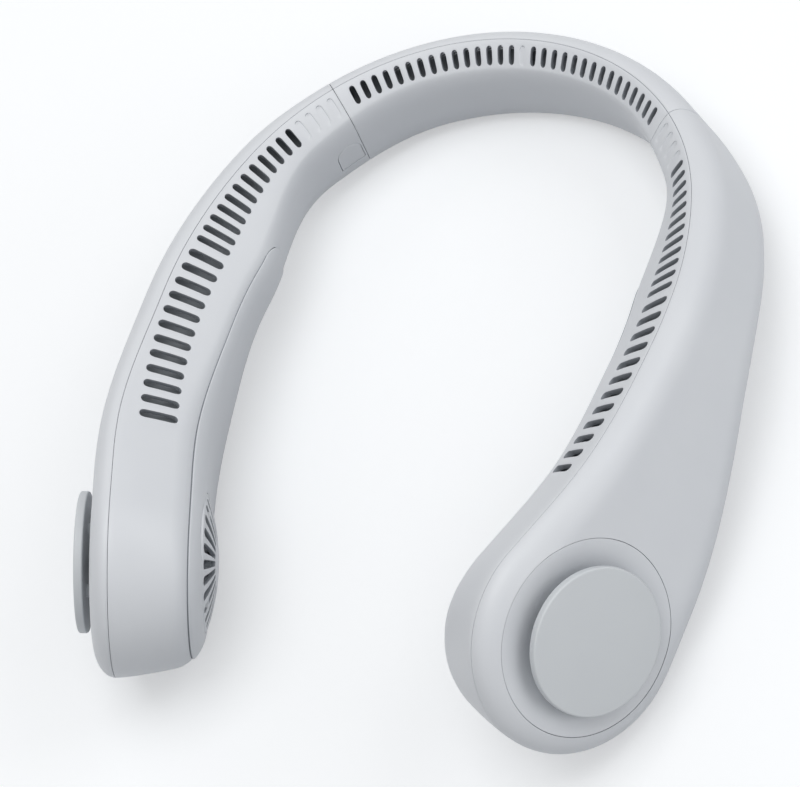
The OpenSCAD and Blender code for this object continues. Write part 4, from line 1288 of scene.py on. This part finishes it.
@dataclass
class Shells:
    """The outer and slotted shells and the inner covers of the neckband, in millimetres."""

    lip: float = 0.2
    bore_lip: float = 0.1
    slot_lip: float = 0.12
    hole: float = 14.0
    hole_from: float = 0.72
    strip_turn: float = 1.6
    dish_bore: float = 26.5
    grille_bore: float = 19.6
    over_dish: float = 3.0
    over_grille: float = 4.0
    on_bore: float = 0.02
    nose_run: float = 10.0
    cover_proud: float = 0.5
    cover_gap: float = 0.02
    roll_share: float = 0.55
    rim_steps: int = 73
    plain_steps: int = 24
    taper_steps: int = 48
    middle_steps: int = 60
    roll_steps: int = 10
    low_steps: int = 34
    cover_steps: int = 40
    near_share: float = 1.05
    past_share: float = 1.1
    cover_most: float = 0.99
    roll_turns: tuple[float, ...] = (18.0, 35.0, 50.0, 64.0, 77.0, 90.0)
    outer_heights: tuple[float, ...] = (12.0, 16.0, 20.0)
    inner_heights: tuple[float, ...] = (13.0, 16.0, 19.0)
    face_steps: int = 7
    inner_steps: int = 12
    arm_step: float = 2.2
    middle_step: float = 1.2

    def __post_init__(self) -> None:
        """Work out the stations that the shells share."""
        band = BAND
        self.arm_start = band.joint_s + band.seam_gap / 2
        self.middle_end = band.joint_s - band.seam_gap / 2
        self.rear = math.atan2(band.small_r - band.head_b, -band.taper_run)
        self.turns = spread(band.top_turn, band.low_turn, self.rim_steps)[1:-1]
        self.rim = [band.rim_at(angle) for angle in self.turns]
        self.outer_roll = [band.outer_roll * (1 - math.cos(math.radians(turn)))
                           for turn in spread(0, 90, self.roll_steps)]
        self.cover_u = band.u_of(SLOTS.cover_s)
        self.nose_u = self.nose_run / (band.top_end[0] - band.low_start)
        self.marks = Slots.marks(SLOTS.arm(), self.arm_start, band.top_end[0], self.arm_step)

    def bare(self, u: float) -> float:
        """Return how much of the inner face the slotted shell covers at u."""
        x = min(1.0, max(0.0, (u - self.cover_u) / self.nose_u))
        return 1 - math.sqrt(1 - (1 - x) ** 2)

    def past_nose(self, steps: int) -> list[float]:
        """Return the taper's shares from the cover's nose to the fan head."""
        return spread(self.cover_u + self.nose_u * self.past_share, 1.0, steps)

    def meet(self, u: float, end: float, turned: bool = False) -> tuple[float, float]:
        """Return where a station's rows end, in s and b.

        Args:
            u: Share of the taper.
            end: Angle on the hole in the fan head at the taper's end.
            turned: Whether the angle at the hole's rear is a whole turn further.

        Returns:
            A point on the middle line, or on the hole.
        """
        if u <= 0:
            return BAND.s_of(u), BAND.small_r
        if u <= self.hole_from:
            v, rear = u / self.hole_from, BAND.head_pt(self.rear, self.hole)
            return mix(BAND.low_start, rear[0], v), mix(BAND.small_r, rear[1], v)
        start = self.rear + 2 * math.pi * turned
        return BAND.head_pt(mix(start, end, (u - self.hole_from) / (1 - self.hole_from)),
                            self.hole)

    def around(self, us: Sequence[float],
               row: Callable[[Station, float, tuple[float, float]], list[Vector]]) -> Grid:
        """Return rows along the upper edge, round the fan head and back along the lower edge.

        Args:
            us: Shares of the taper.
            row: Gives the points at a station, its share, and the place where they end.

        Returns:
            The rows in order.
        """
        return ([row(BAND.top_at(BAND.s_of(u)), u, self.meet(u, BAND.top_turn)) for u in us]
                + [row(st, 1.0, BAND.head_pt(angle, self.hole))
                   for st, angle in zip(self.rim, self.turns)]
                + [row(BAND.low_at(u), u, self.meet(u, BAND.low_turn, True))
                   for u in reversed(us)])

    def bore(self, piece: bpy.types.Object, r: float, low: float, high: float) -> None:
        """Bore a left-hand shell round the fan axis, give the bore's wall painted shade and soften
        the bore's edges.

        Args:
            piece: The closed shell.
            r: Radius of the bore in millimetres.
            low: Where the bore starts, along the fan axis.
            high: Where it ends.
        """
        cutter = drum("bore", r, low, high, sides=192)
        place(cutter, BAND.head_frame)
        combine(piece, cutter)
        bpy.context.tool_settings.mesh_select_mode = (False, True, False)

        def pick_sharp() -> None:
            bpy.ops.mesh.select_all(action="DESELECT")
            bpy.ops.mesh.edges_select_sharp(sharpness=SHARP)
        edit(piece, pick_sharp, everything=False)
        back, mesh = BAND.head_frame.inverted(), piece.data
        on_bore = [abs((back @ v.co).xy.length - r * MM) < self.on_bore * MM
                   for v in mesh.vertices]
        # Faces of the bore's wall take slot 1: painted shade, a darker grey for the shade in the
        # seam
        for polygon in mesh.polygons:
            polygon.select = False
            if all(on_bore[k] for k in polygon.vertices):
                polygon.material_index = 1
        for vertex in mesh.vertices:
            vertex.select = False
        for edge in mesh.edges:
            edge.select = edge.select and all(on_bore[k] for k in edge.vertices)
            for k in edge.vertices if edge.select else ():
                mesh.vertices[k].select = True
        edit(piece, lambda: bpy.ops.mesh.bevel(
            offset=self.bore_lip * MM, offset_type="OFFSET", segments=2, affect="EDGES",
            material=0), everything=False)
        smooth(piece)
        modify(piece, "WEIGHTED_NORMAL", keep_sharp=True)

    def outer_rows(self, st: Station, q: tuple[float, float]) -> list[Vector]:
        """Return the rows of an outer shell at a station.

        Args:
            st: Station on the outline.
            q: Place in s and b where the rows end.

        Returns:
            The points, from the seam inwards.
        """
        rows = [BAND.outer_pt(st, d) for d in self.outer_roll]
        p = st.s + BAND.outer_roll * st.ds, st.b + BAND.outer_roll * st.db
        for v in spread(0, 1, self.face_steps)[1:]:
            s, b = mix(p[0], q[0], v), mix(p[1], q[1], v)
            rows.append(BAND.path.put(s, b, BAND.outer_a(s)))
        return rows

    def arm_outer(self) -> None:
        """Make the arms' plain outer shells, bored for their intake dishes."""
        us = [BAND.u_of(s) for s in spread(self.arm_start, BAND.low_start, self.plain_steps)]
        us += spread(0, 1, self.taper_steps)[1:]
        rows = self.around(us, lambda st, u, q: self.outer_rows(st, q))
        piece = lay_sheet("left_outer_skin", rows, BAND.path.put(100, 16, 60), (12, 12))
        thicken(piece, BAND.wall, self.lip)
        self.bore(piece, self.dish_bore, -BAND.fan_seam_in, BAND.fan_out + self.over_dish)
        hand_over_pair(piece, "outer_skin", "outer_shell")

    def inner_rows(self, st: Station, q: tuple[float, float], low: float, high: float,
                   proud: float) -> list[Vector]:
        """Return rows over the inner face.

        Args:
            st: Station on the outline.
            q: Place in s and b where the face ends.
            low: Share of the way to q where the rows start.
            high: Share where they end.
            proud: Height above the skin.

        Returns:
            The points in metres.
        """
        out, split = [], self.roll_share
        for e in spread(low, high, self.inner_steps):
            if e <= split:
                out.append(BAND.roll_pt(st, mix(BAND.cover_turn, 90, e / split), proud))
            else:
                p, v = BAND.roll_end(st), (e - split) / (1 - split)
                out.append(BAND.inner_pt((mix(p[0], q[0], v), mix(p[1], q[1], v)), proud))
        return out

    def slotted_rows(self, st: Station, mark: Mark, u: float,
                     q: tuple[float, float]) -> list[Vector]:
        """Return the rows of an arm's slotted shell at a station.

        Args:
            st: Station on the outline.
            mark: What the strip has there.
            u: Share of the taper.
            q: Place in s and b where the inner face would end.

        Returns:
            The points, from the seam over the strip to the inner face.
        """
        return (STRIP.points(st, mark)
                + [BAND.roll_pt(st, turn) for turn in spread(0, BAND.cover_turn, 3)[1:-1]]
                + self.inner_rows(st, q, 0.0, self.bare(u), 0.0))

    def arm_slotted(self) -> None:
        """Make the arms' slotted shells: strip, slots, grooves and the bare inner face."""
        near = [u for u in (BAND.u_of(mark.s) for mark in self.marks)
                if u < self.cover_u + self.nose_u * self.near_share]
        rows = []
        for mark in self.marks:
            u = BAND.u_of(mark.s)
            rows.append(self.slotted_rows(BAND.top_at(mark.s), mark, u,
                                          self.meet(u, -self.strip_turn)))
        rows += [self.slotted_rows(st, Mark(st.s), 1.0, (0, 0)) for st in self.rim]
        for u in reversed(near + self.past_nose(self.low_steps)):
            st = BAND.low_at(u)
            rows.append(self.slotted_rows(st, Mark(st.s), u, self.meet(u, self.strip_turn, True)))
        piece = STRIP.sheet("left_slotted_skin", rows, self.marks)
        thicken(piece, BAND.wall, self.slot_lip)
        JointTab().pocket(piece)
        twin = copied(piece, "right_slotted_skin", Side.RIGHT.mirror)
        Controls().cut_openings(piece)
        for side, each in zip(Side, (piece, twin)):
            smooth(each)
            hand_over(each, f"{side.word}_slotted_shell")

    def arm_cover(self) -> None:
        """Make the arms' inner covers with the bores of their grilles."""
        nose = [u for u in (BAND.u_of(mark.s) for mark in self.marks)
                if self.cover_u < u < self.cover_u + self.nose_u]
        us = [mix(self.cover_u, nose[0], 0.5)] + nose + self.past_nose(self.cover_steps)
        rows = self.around(us, lambda st, u, q: self.inner_rows(
            st, q, min(self.cover_most, self.bare(u) + self.cover_gap), 1.0, self.cover_proud))
        piece = lay_sheet("left_cover_skin", rows, BAND.path.put(190, 20, -90), (40, 6))
        thicken(piece, BAND.wall, self.lip)
        self.bore(piece, self.grille_bore, -BAND.fan_in - self.over_grille,
                  -BAND.fan_in + self.over_grille)
        hand_over_pair(piece, "cover_skin", "inner_cover")

    def middle_outer(self) -> None:
        """Make the plain outer shell of the middle section."""
        rows = []
        for s in spread(-self.middle_end, self.middle_end, self.middle_steps):
            top, low = BAND.top_at(s), BAND.low_of(s)
            flat = [BAND.path.put(s, b, BAND.outer_a(s)) for b in self.outer_heights]
            rows.append([BAND.outer_pt(top, d) for d in self.outer_roll] + flat
                        + [BAND.outer_pt(low, d) for d in reversed(self.outer_roll)])
        piece = lay_sheet("middle_outer_skin", rows, BAND.path.put(0.1, 16, 80), (30, 10))
        thicken(piece, BAND.wall, self.lip)
        hand_over(piece, "middle_outer_shell")

    def middle_slotted(self) -> None:
        """Make the slotted shell of the middle section."""
        marks = Slots.marks(SLOTS.middle(), -self.middle_end, self.middle_end, self.middle_step)
        rows = []
        for mark in marks:
            top, low = BAND.top_at(mark.s), BAND.low_of(mark.s)
            inner = [BAND.path.put(mark.s, b, BAND.inner_a(mark.s)) for b in self.inner_heights]
            rows.append(STRIP.points(top, mark)
                        + [BAND.roll_pt(top, turn) for turn in self.roll_turns] + inner
                        + [BAND.roll_pt(low, turn) for turn in reversed(self.roll_turns)]
                        + STRIP.points(low, Mark(mark.s))[::-1])
        piece = STRIP.sheet("middle_slotted_skin", rows, marks)
        thicken(piece, BAND.wall, self.slot_lip)
        hand_over(piece, "middle_slotted_shell")

    def build(self) -> None:
        """Make every shell and cover."""
        self.middle_outer()
        self.middle_slotted()
        self.arm_outer()
        self.arm_slotted()
        self.arm_cover()


@dataclass
class AirDivider:
    """Floor of an arm's air channel, which runs on below the last slot, in millimetres."""

    b: float = 9.3
    thick: float = 1.2
    fit: float = 0.25
    sleeve: float = 9.0
    arm_fit: float = 0.9
    fan_fit: float = 4.2
    end: float = 200.0
    lip: float = 0.15
    steps: int = 60
    steps_across: int = 8

    def build(self) -> None:
        """Make the dividers of both arms."""
        start = BAND.joint_s + self.sleeve / 2 + self.fit
        rows = []
        for s in spread(start, self.end, self.steps):
            out = BAND.outer_a(s) - BAND.wall - self.fit
            fit = mix(self.arm_fit, self.fan_fit, BAND.fan_u(s))
            into = BAND.inner_a(s) + BAND.wall + fit
            rows.append([BAND.path.put(s, self.b, a)
                         for a in spread(out, into, self.steps_across)])
        piece = lay_sheet("left_duct_floor", rows, BAND.path.put(start, -60, -12), (2, 2))
        thicken(piece, self.thick, self.lip)
        hand_over_pair(piece, "duct_floor", "air_divider", INNER)


@dataclass
class FanHead:
    """What shows of a fan: intake dish, disc cap and inner grille, in millimetres."""

    dish_r: float = 26.38
    dish_lip: float = 3.3
    dish_fall: float = 2.6
    reach: float = 0.5
    below: float = 0.04
    ray_from: float = 20.0
    dish_rim: float = 0.3
    dish_bow: float = 0.9
    dish_edge: float = 0.08
    dish_steps: int = 16
    throat_roll: float = 0.5
    spider_edge: float = 0.3
    spider_sunk: float = 0.02
    spider_into: float = 1.0
    throat_r: float = 15.3
    grille_t: float = 1.6
    hub_r: float = 12.01
    hub_hole_r: float = 7.5
    hub_top: float = 1.0
    spider_w: float = 4.0
    cap_r: float = 19.85
    cap_t: float = 2.5
    cap_top: float = 8.4
    cap_roll: float = 0.5
    peg_pitch_r: float = 9.757
    peg_r: float = 1.9
    peg_into: float = 0.2
    peg_edge: float = 0.15
    grille_r: float = 19.513
    grille_rise: float = 0.5
    grille_crown: float = 3.3
    grille_slots: int = 24
    skirt: float = 2.1
    skirt_step: float = 0.12
    root_r: float = 7.3
    tip_r: float = 17.7
    root_w: float = 1.3
    tip_w: float = 2.7
    post_r: float = 2.0
    post_low: float = 24.5
    post_pitch_r: float = 14.0
    post_into: float = 1.2
    post_edge: float = 0.1
    slot_turns: tuple[float, ...] = (-90.0, -64.0, -34.0, 0.0, 34.0, 64.0, 90.0)
    first_open: int = 4
    past_open: int = 10
    boss_radii: tuple[float, ...] = (0.0, 2.2, 4.4, 5.6)
    ring_r: float = 18.85
    grille_edge: float = 0.25
    grille_lip: float = 0.16
    thin: float = 0.9

    def settle(self, skin: str, parts: Sequence[bpy.types.Object], node: str,
               finish: Finish = SHELL) -> None:
        """Join a piece's parts, bring it to the head and hand it over with its twin.

        Args:
            skin: What the piece is called after its side's word.
            parts: Its parts round the origin.
            node: What the CAD node is called after its side's word.
            finish: Finish of both.
        """
        piece = join(f"left_{skin}", parts)
        place(piece, BAND.head_frame)
        smooth(piece)
        hand_over_pair(piece, skin, node, finish)

    def dish(self) -> None:
        """Make the intake dishes: a ring that rounds over into its throat, and a spider."""
        throat = self.dish_lip - self.dish_fall
        floor = throat - self.grille_t
        hollow = [(mix(self.dish_r - self.dish_rim, self.throat_r + self.throat_roll, u),
                   mix(self.dish_lip, throat, (1 - math.cos(u * math.pi / 2)) ** self.dish_bow))
                  for u in spread(0, 1, self.dish_steps)]
        ring = spun("dish_ring", rounded(
            [(self.dish_r, self.dish_lip), *hollow, (self.throat_r, throat - self.throat_roll),
             (self.throat_r, floor), (self.dish_r, self.dish_lip - self.grille_t)],
            self.dish_edge, steps=2))
        self.meet_shell(ring)
        hub = spun("dish_hub", rounded(
            [(self.hub_r, self.hub_top), (self.hub_hole_r, self.hub_top),
             (self.hub_hole_r, floor), (self.hub_r, floor)], self.spider_edge))
        half, sunk = self.spider_w / 2, self.spider_sunk
        arm = block("dish_arm", (self.hub_r - self.spider_into, -half, floor + sunk),
                    (self.throat_r + self.dish_rim, half, self.hub_top - sunk),
                    self.spider_edge)
        self.settle("dish", [ring, hub, *in_threes(arm)], "intake_dish")

    def meet_shell(self, ring: bpy.types.Object) -> None:
        """Bring a dish ring's outer edge level with the shell that is round it.

        Args:
            ring: The ring, still round the origin.
        """
        shell = bpy.data.objects["left_outer_skin"].data
        tree = BVHTree.FromPolygons([v.co for v in shell.vertices],
                                    [list(f.vertices) for f in shell.polygons])
        head, above = BAND.head_frame, self.ray_from * MM
        down = (head.to_3x3() @ Vector((0, 0, -1))).normalized()
        for vertex in ring.data.vertices:
            x, y, _ = vertex.co
            r = math.hypot(x, y)
            share = (r / MM - self.throat_r) / (self.dish_r - self.throat_r)
            out = (self.dish_r + self.reach) * MM / r
            hit = tree.ray_cast(head @ Vector((x * out, y * out, above)), down)[0]
            level = (head.inverted() @ hit).z / MM - self.dish_lip - self.below
            vertex.co.z += level * min(1.0, max(0.0, share)) ** 2 * MM

    def cap(self) -> None:
        """Make the raised disc with its rolled rim and pegs."""
        low = self.cap_top - self.cap_t
        disc = drum("cap_disc", self.cap_r, low, self.cap_top, self.cap_roll, 192, 7)
        peg = drum("cap_peg", self.peg_r, self.hub_top, low + self.peg_into, self.peg_edge, 48)
        shift(peg, self.peg_pitch_r)
        self.settle("cap", [disc, *in_threes(peg)], "disc_cap", DISC)

    def grille(self) -> None:
        """Make the domed grille with its tapered, round-ended slots."""
        count, rows, kinds = self.grille_slots, [], []
        for k in range(count):
            middle = 2 * math.pi * (k + 0.5) / count
            rows.append(self.grille_rows(middle - math.pi / count, None))
            rows += [self.grille_rows(middle, math.radians(turn)) for turn in self.slot_turns]
            kinds += [False] + [True] * len(self.slot_turns)
        rows.append(rows[0])
        kinds.append(False)
        sheet = lay_sheet("grille_sheet", rows, Vector((0, 0, -1)), (0, 1),
                          lambda i, j: (kinds[i] and kinds[i + 1]
                                        and self.first_open <= j < self.past_open))
        thicken(sheet, self.grille_t * self.thin, self.grille_lip, even=False)
        post = drum("grille_post", self.post_r, -BAND.fan_in - self.grille_rise - self.post_into,
                    -self.post_low, self.post_edge, 40)
        shift(post, self.post_pitch_r)
        self.settle("grille", [sheet, *in_threes(post)], "inner_grille")

    def grille_rows(self, middle: float, t: Optional[float]) -> list[Vector]:
        """Return the grille's rows at one station.

        Args:
            middle: Angle of a slot's middle line, or of a rib's.
            t: Turn across the slot, or None on a rib.

        Returns:
            The points from the grille's middle to the end of its skirt.
        """
        bulge = 0.0 if t is None else math.cos(t)
        root, tip = self.root_r, self.tip_r
        # The last rows of a slot close up before its tip, then swell into its round end
        radii = [*self.boss_radii, root - self.root_w / 2 * bulge,
                 *spread(root, tip - 0.4, 5)[1:-1], tip - 0.2 + 0.2 * bulge,
                 tip + self.tip_w / 2 * bulge * 0.6, self.ring_r,
                 self.grille_r - self.grille_edge, self.grille_r]
        out = []
        for r in radii:
            angle = middle
            if t is not None:
                w = mix(self.root_w, self.tip_w, min(1.0, max(0.0, (r - root) / (tip - root)))) / 2
                angle += math.asin(w * min(1.0, r / root) * math.sin(t) / max(r, 1.0))
            z = BAND.fan_in + self.grille_rise + self.grille_crown * (1 - (r / self.grille_r) ** 2)
            out.append(Vector((r * math.cos(angle), -r * math.sin(angle), -z)) * MM)
        out[-1].z += self.skirt_step * MM
        return out + [out[-1] + Vector((0, 0, self.skirt * MM))]

    def build(self) -> None:
        """Make the visible pieces of both heads."""
        self.dish()
        self.cap()
        self.grille()


@dataclass
class Controls:
    """The charging mouth, button and lamps on the underside of the left arm, in millimetres."""

    run: float = 51.0
    depth: float = -14.0
    through: float = -3.0
    above: float = 2.0
    port_x: float = -6.4
    port_w: float = 8.94
    port_h: float = 3.26
    mouth_fit: float = 0.15
    mouth_step: float = 0.4
    mouth_sunk: float = 0.25
    button_x: float = 4.0
    button_r: float = 4.0
    button_fit: float = 0.08
    button_step: float = 0.45
    button_sunk: float = 0.22
    button_top: float = 0.9
    button_dish: float = 0.35
    button_edge: float = 0.5
    flange: float = 0.7
    flange_top: float = -1.45
    flange_t: float = 0.8
    stem_r: float = 1.6
    stem_low: float = -3.3
    lamp_x: float = 9.9
    lamp_pitch: float = 2.0
    lamp_r: float = 0.7
    lamps: int = 4

    @property
    def frame(self) -> Matrix:
        """Return the frame on the underside: X forwards, Y to the neck, Z out."""
        s = BAND.path.s_fan - self.run
        st = BAND.low_at((s - BAND.low_start) / (BAND.low_end[0] - BAND.low_start))
        d = BAND.strip_d(st, self.depth)
        slope = math.atan(BAND.strip_d(st, self.depth - 1) - d)
        base = BAND.path.frame_at(st.s + d * st.ds, st.b + d * st.db, self.depth)
        return (base @ Matrix.Rotation(BAND.low_dir, 4, "Z")
                @ Matrix.Rotation(slope - math.pi / 2, 4, "X"))

    def mouth(self, grow: float, low: float) -> bpy.types.Object:
        """Make a cutter with round ends in the charging mouth's shape.

        Args:
            grow: Growth all round, in millimetres.
            low: Height of its underside.

        Returns:
            The cutter, flat in X and Y.
        """
        w, h = self.port_w + 2 * grow, self.port_h + 2 * grow
        run = (w - h) / 2
        core = block("mouth_core", (self.port_x - run, -h / 2, low),
                     (self.port_x + run, h / 2, self.above), 0.001)
        for x in (self.port_x - run, self.port_x + run):
            end = drum("mouth_end", h / 2, low, self.above, sides=40)
            shift(end, x)
            combine(core, end, "UNION")
        return core

    def cut_openings(self, shell: bpy.types.Object) -> None:
        """Cut the mouth, the button's bore and the lamp holes.

        Args:
            shell: The left slotted shell.
        """
        cutters = [self.mouth(self.mouth_fit, self.through),
                   self.mouth(self.mouth_fit + self.mouth_step, -self.mouth_sunk)]
        for grow, low in ((self.button_fit, self.through), (self.button_step, -self.button_sunk)):
            cutters.append(drum("bore", self.button_r + grow, low, self.above))
            shift(cutters[-1], self.button_x)
        hole = drum("lamp_hole", self.lamp_r, self.through, self.above, sides=32)
        shift(hole, self.lamp_x, -(self.lamps - 1) / 2 * self.lamp_pitch)
        cutters.append(hole)
        for k in range(1, self.lamps):
            step = Matrix.Translation((0, k * self.lamp_pitch * MM, 0))
            cutters.append(copied(hole, "lamp_hole", step))
        for cutter in cutters:
            place(cutter, self.frame)
            combine(shell, cutter)

    def button(self) -> None:
        """Make the power button with its dished face."""
        r, top, low = self.button_r, self.button_top, self.flange_top
        face = [(mix(r - self.button_edge, 0, u),
                 top - self.button_dish * math.sin(u * math.pi / 2))
                for u in spread(0, 1, 8)]
        piece = spun("power_button_cap", [
            (self.stem_r, self.stem_low), (self.stem_r, low - self.flange_t),
            (r + self.flange, low - self.flange_t), (r + self.flange, low), (r, low),
            (r, top - 0.45), (r - 0.15, top - 0.12), *face, (0, self.stem_low)], 96)
        place(piece, self.frame @ Matrix.Translation((self.button_x * MM, 0, 0)))
        smooth(piece)
        hand_over(piece, "power_button", DISC, "power_button")


@dataclass
class JointTab:
    """Arch-shaped inlay beside a joint, on the inner face, in millimetres."""

    beside: float = 5.6
    width: float = 7.4
    height: float = 9.6
    top: float = 13.9
    seam: float = 0.18
    deep: float = 0.8
    lift: float = 1.5
    below: float = 0.1
    lip: float = 0.12
    steps_round: int = 20
    steps_down: int = 6

    def plate(self, name: str, grow: float, lift: float) -> bpy.types.Object:
        """Make an arch that follows the inner face, its round end up.

        Args:
            name: Name of the piece.
            grow: Growth all round, in millimetres.
            lift: Height above the inner face.

        Returns:
            An open sheet that faces the neck.
        """
        s, r = BAND.joint_s + self.beside, self.width / 2 + grow
        squash = (BAND.path.back_r + BAND.inner_a(s)) / BAND.path.back_r
        centre, low = self.top + self.width / 2, self.top + self.height + grow
        rows = []
        for t in map(math.radians, spread(0, 180, self.steps_round)):
            at, high = s - r * math.cos(t) / squash, centre - r * math.sin(t)
            rows.append([BAND.inner_pt((at, b), lift) for b in spread(high, low, self.steps_down)])
        return lay_sheet(name, rows, BAND.path.put(s, BAND.small_r, -60), (10, 3))

    def pocket(self, shell: bpy.types.Object) -> None:
        """Cut the tab's pocket.

        Args:
            shell: A left-hand slotted shell.
        """
        cutter = self.plate("tab_pocket", self.seam, self.lift)
        modify(cutter, "SOLIDIFY", thickness=(self.lift + self.deep + self.below) * MM,
               offset=-1.0)
        combine(shell, cutter)

    def build(self) -> None:
        """Make the tabs of both arms."""
        piece = self.plate("left_tab", 0.0, 0.0)
        modify(piece, "SOLIDIFY", thickness=self.deep * MM, offset=-1.0)
        soften(piece, self.lip)
        hand_over_pair(piece, "tab", "joint_tab")


class Inside:
    """Finishes of the CAD pieces that stay as they are."""

    finishes: dict[str, Finish] = {
        "impeller": BLADE, "rotor_cup": STEEL, "motor_shaft": STEEL, "motor_plate": STEEL,
        "motor_screws": STEEL, "board_screws": STEEL, "charge_socket": STEEL,
        "magnet_ring": MAGNET, "motor_bush": BRONZE, "stator": COPPER, "battery": WRAP,
        "wire_harness": DARK, "power_switch": DARK, "joint_sleeve": DARK, "control_board": BOARD,
        "light_guide": CLEAR, "volute_wall": INNER, "air_divider": INNER,
    }

    def dress(self) -> None:
        """Give each kept node the finish of its kind."""
        for name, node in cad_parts.items():
            for word, finish in self.finishes.items():
                if name.endswith(word):
                    finish.dress(node)
                    LOG.info("%s: %s", name, finish.name)


@dataclass(frozen=True)
class Studio:
    """Camera at the photograph's angle, soft lamps and a pale floor."""

    camera_at: tuple[float, float, float] = (449.934, -573.717, 661.881)
    right: tuple[float, float, float] = (0.87, 0.3645, -0.3321)
    down: tuple[float, float, float] = (0.1048, -0.7948, -0.5978)
    forward: tuple[float, float, float] = (-0.4818, 0.4852, -0.7297)
    lens: float = 153.0
    sensor: float = 36.0
    far: float = 20.0
    aim: tuple[float, float, float] = (0.0, 0.0, 0.03)
    floor_size: float = 8.0
    floor_glow: float = 0.34
    sky: float = 0.38
    # Name, place, size and power of each lamp
    lamps: tuple[tuple[str, tuple[float, float, float], float, float], ...] = (
        ("key", (0.05, 0.05, 1.4), 0.9, 6.2),
        ("front", (0.55, -0.6, 1.1), 0.8, 1.0),
        ("rear", (0.9, 0.6, 0.9), 0.7, 2.6),
        ("side", (1.3, 0.0, 0.4), 0.7, 2.0),
        ("edge", (-0.8, 0.7, 0.9), 0.8, 1.6),
    )

    def camera(self) -> None:
        """Add the camera."""
        axes = [BAND.path.turned(*v) for v in (self.right, self.down, self.forward)]
        turn = Matrix((axes[0], -axes[1], -axes[2])).transposed()
        data = bpy.data.cameras.new("camera")
        data.lens, data.sensor_width, data.clip_end = self.lens, self.sensor, self.far
        camera = bpy.data.objects.new("camera", data)
        camera.matrix_world = (Matrix.Translation(BAND.path.laid(*self.camera_at))
                               @ turn.to_quaternion().to_matrix().to_4x4())
        bpy.context.scene.collection.objects.link(camera)
        bpy.context.scene.camera = camera

    def lamp(self, name: str, at: Sequence[float], size: float, power: float) -> None:
        """Add a soft square lamp that looks at the fan.

        Args:
            name: Name of the lamp.
            at: Its place in metres.
            size: Length of its sides.
            power: Its power in watts.
        """
        data = bpy.data.lights.new(name, "AREA")
        data.size, data.energy = size, power
        lamp = bpy.data.objects.new(name, data)
        look = (Vector(self.aim) - Vector(at)).to_track_quat("-Z", "Y")
        lamp.matrix_world = Matrix.Translation(at) @ look.to_matrix().to_4x4()
        bpy.context.scene.collection.objects.link(lamp)

    def floor(self) -> None:
        """Add the pale floor, white to the camera but for the fan's shadow."""
        deselect()
        bpy.ops.mesh.primitive_plane_add(size=self.floor_size, location=(0, 0, 0))
        floor = named("floor")
        material = bpy.data.materials.new("floor paper")
        material.use_nodes = True
        tree = material.node_tree
        tree.nodes.clear()
        # White paper to the camera, with the fan's shadow, and grey to the light it throws back
        paper = add_node(tree, "ShaderNodeBsdfDiffuse", Color=linear("#e6e8ea"), Roughness=1.0)
        glow = add_node(tree, "ShaderNodeEmission", Color=linear("#ffffff"),
                        Strength=self.floor_glow)
        white = add_node(tree, "ShaderNodeAddShader", None, {0: (paper, 0), 1: (glow, 0)})
        dull = add_node(tree, "ShaderNodeBsdfDiffuse", Color=linear("#babdc1"), Roughness=1.0)
        both = add_node(tree, "ShaderNodeMixShader", None, {1: (dull, 0), 2: (white, 0)},
                        Fac=(self.seen(tree), 0))
        add_node(tree, "ShaderNodeOutputMaterial", Surface=(both, 0))
        floor.data.materials.append(material)

    @staticmethod
    def seen(tree: bpy.types.NodeTree) -> bpy.types.Node:
        """Tell what is seen from what only lights.

        Args:
            tree: Node tree to add the nodes to.

        Returns:
            A node that is 1 for what the camera, a gloss or a clear part sees.
        """
        path, most = add_node(tree, "ShaderNodeLightPath"), {"operation": "MAXIMUM"}
        found = add_node(tree, "ShaderNodeMath", most,
                         {0: (path, "Is Camera Ray"), 1: (path, "Is Glossy Ray")})
        return add_node(tree, "ShaderNodeMath", most,
                        {0: (found, 0), 1: (path, "Is Transmission Ray")})

    def world(self) -> None:
        """Light the scene evenly from all round."""
        world = bpy.data.worlds.new("studio")
        world.use_nodes = True
        tree = world.node_tree
        tree.nodes.clear()
        level = add_node(tree, "ShaderNodeMapRange", Value=(self.seen(tree), 0),
                         To_Min=self.sky, To_Max=1.0)
        sky = add_node(tree, "ShaderNodeBackground", Color=linear("#ffffff"),
                       Strength=(level, "Result"))
        add_node(tree, "ShaderNodeOutputWorld", Surface=(sky, 0))
        bpy.context.scene.world = world

    def build(self) -> None:
        """Set the studio up."""
        self.camera()
        self.floor()
        self.world()
        for lamp in self.lamps:
            self.lamp(*lamp)
        bpy.context.scene.view_settings.view_transform = "Standard"


def main() -> None:
    """Build the fan's visible pieces, dress all others and set the studio up."""
    logging.basicConfig(level=logging.INFO, format="%(name)s: %(message)s")
    Studio().build()
    for part in (Shells(), JointTab(), AirDivider(), FanHead()):
        part.build()
    Controls().button()
    Inside().dress()


if __name__ == "__main__":
    main()
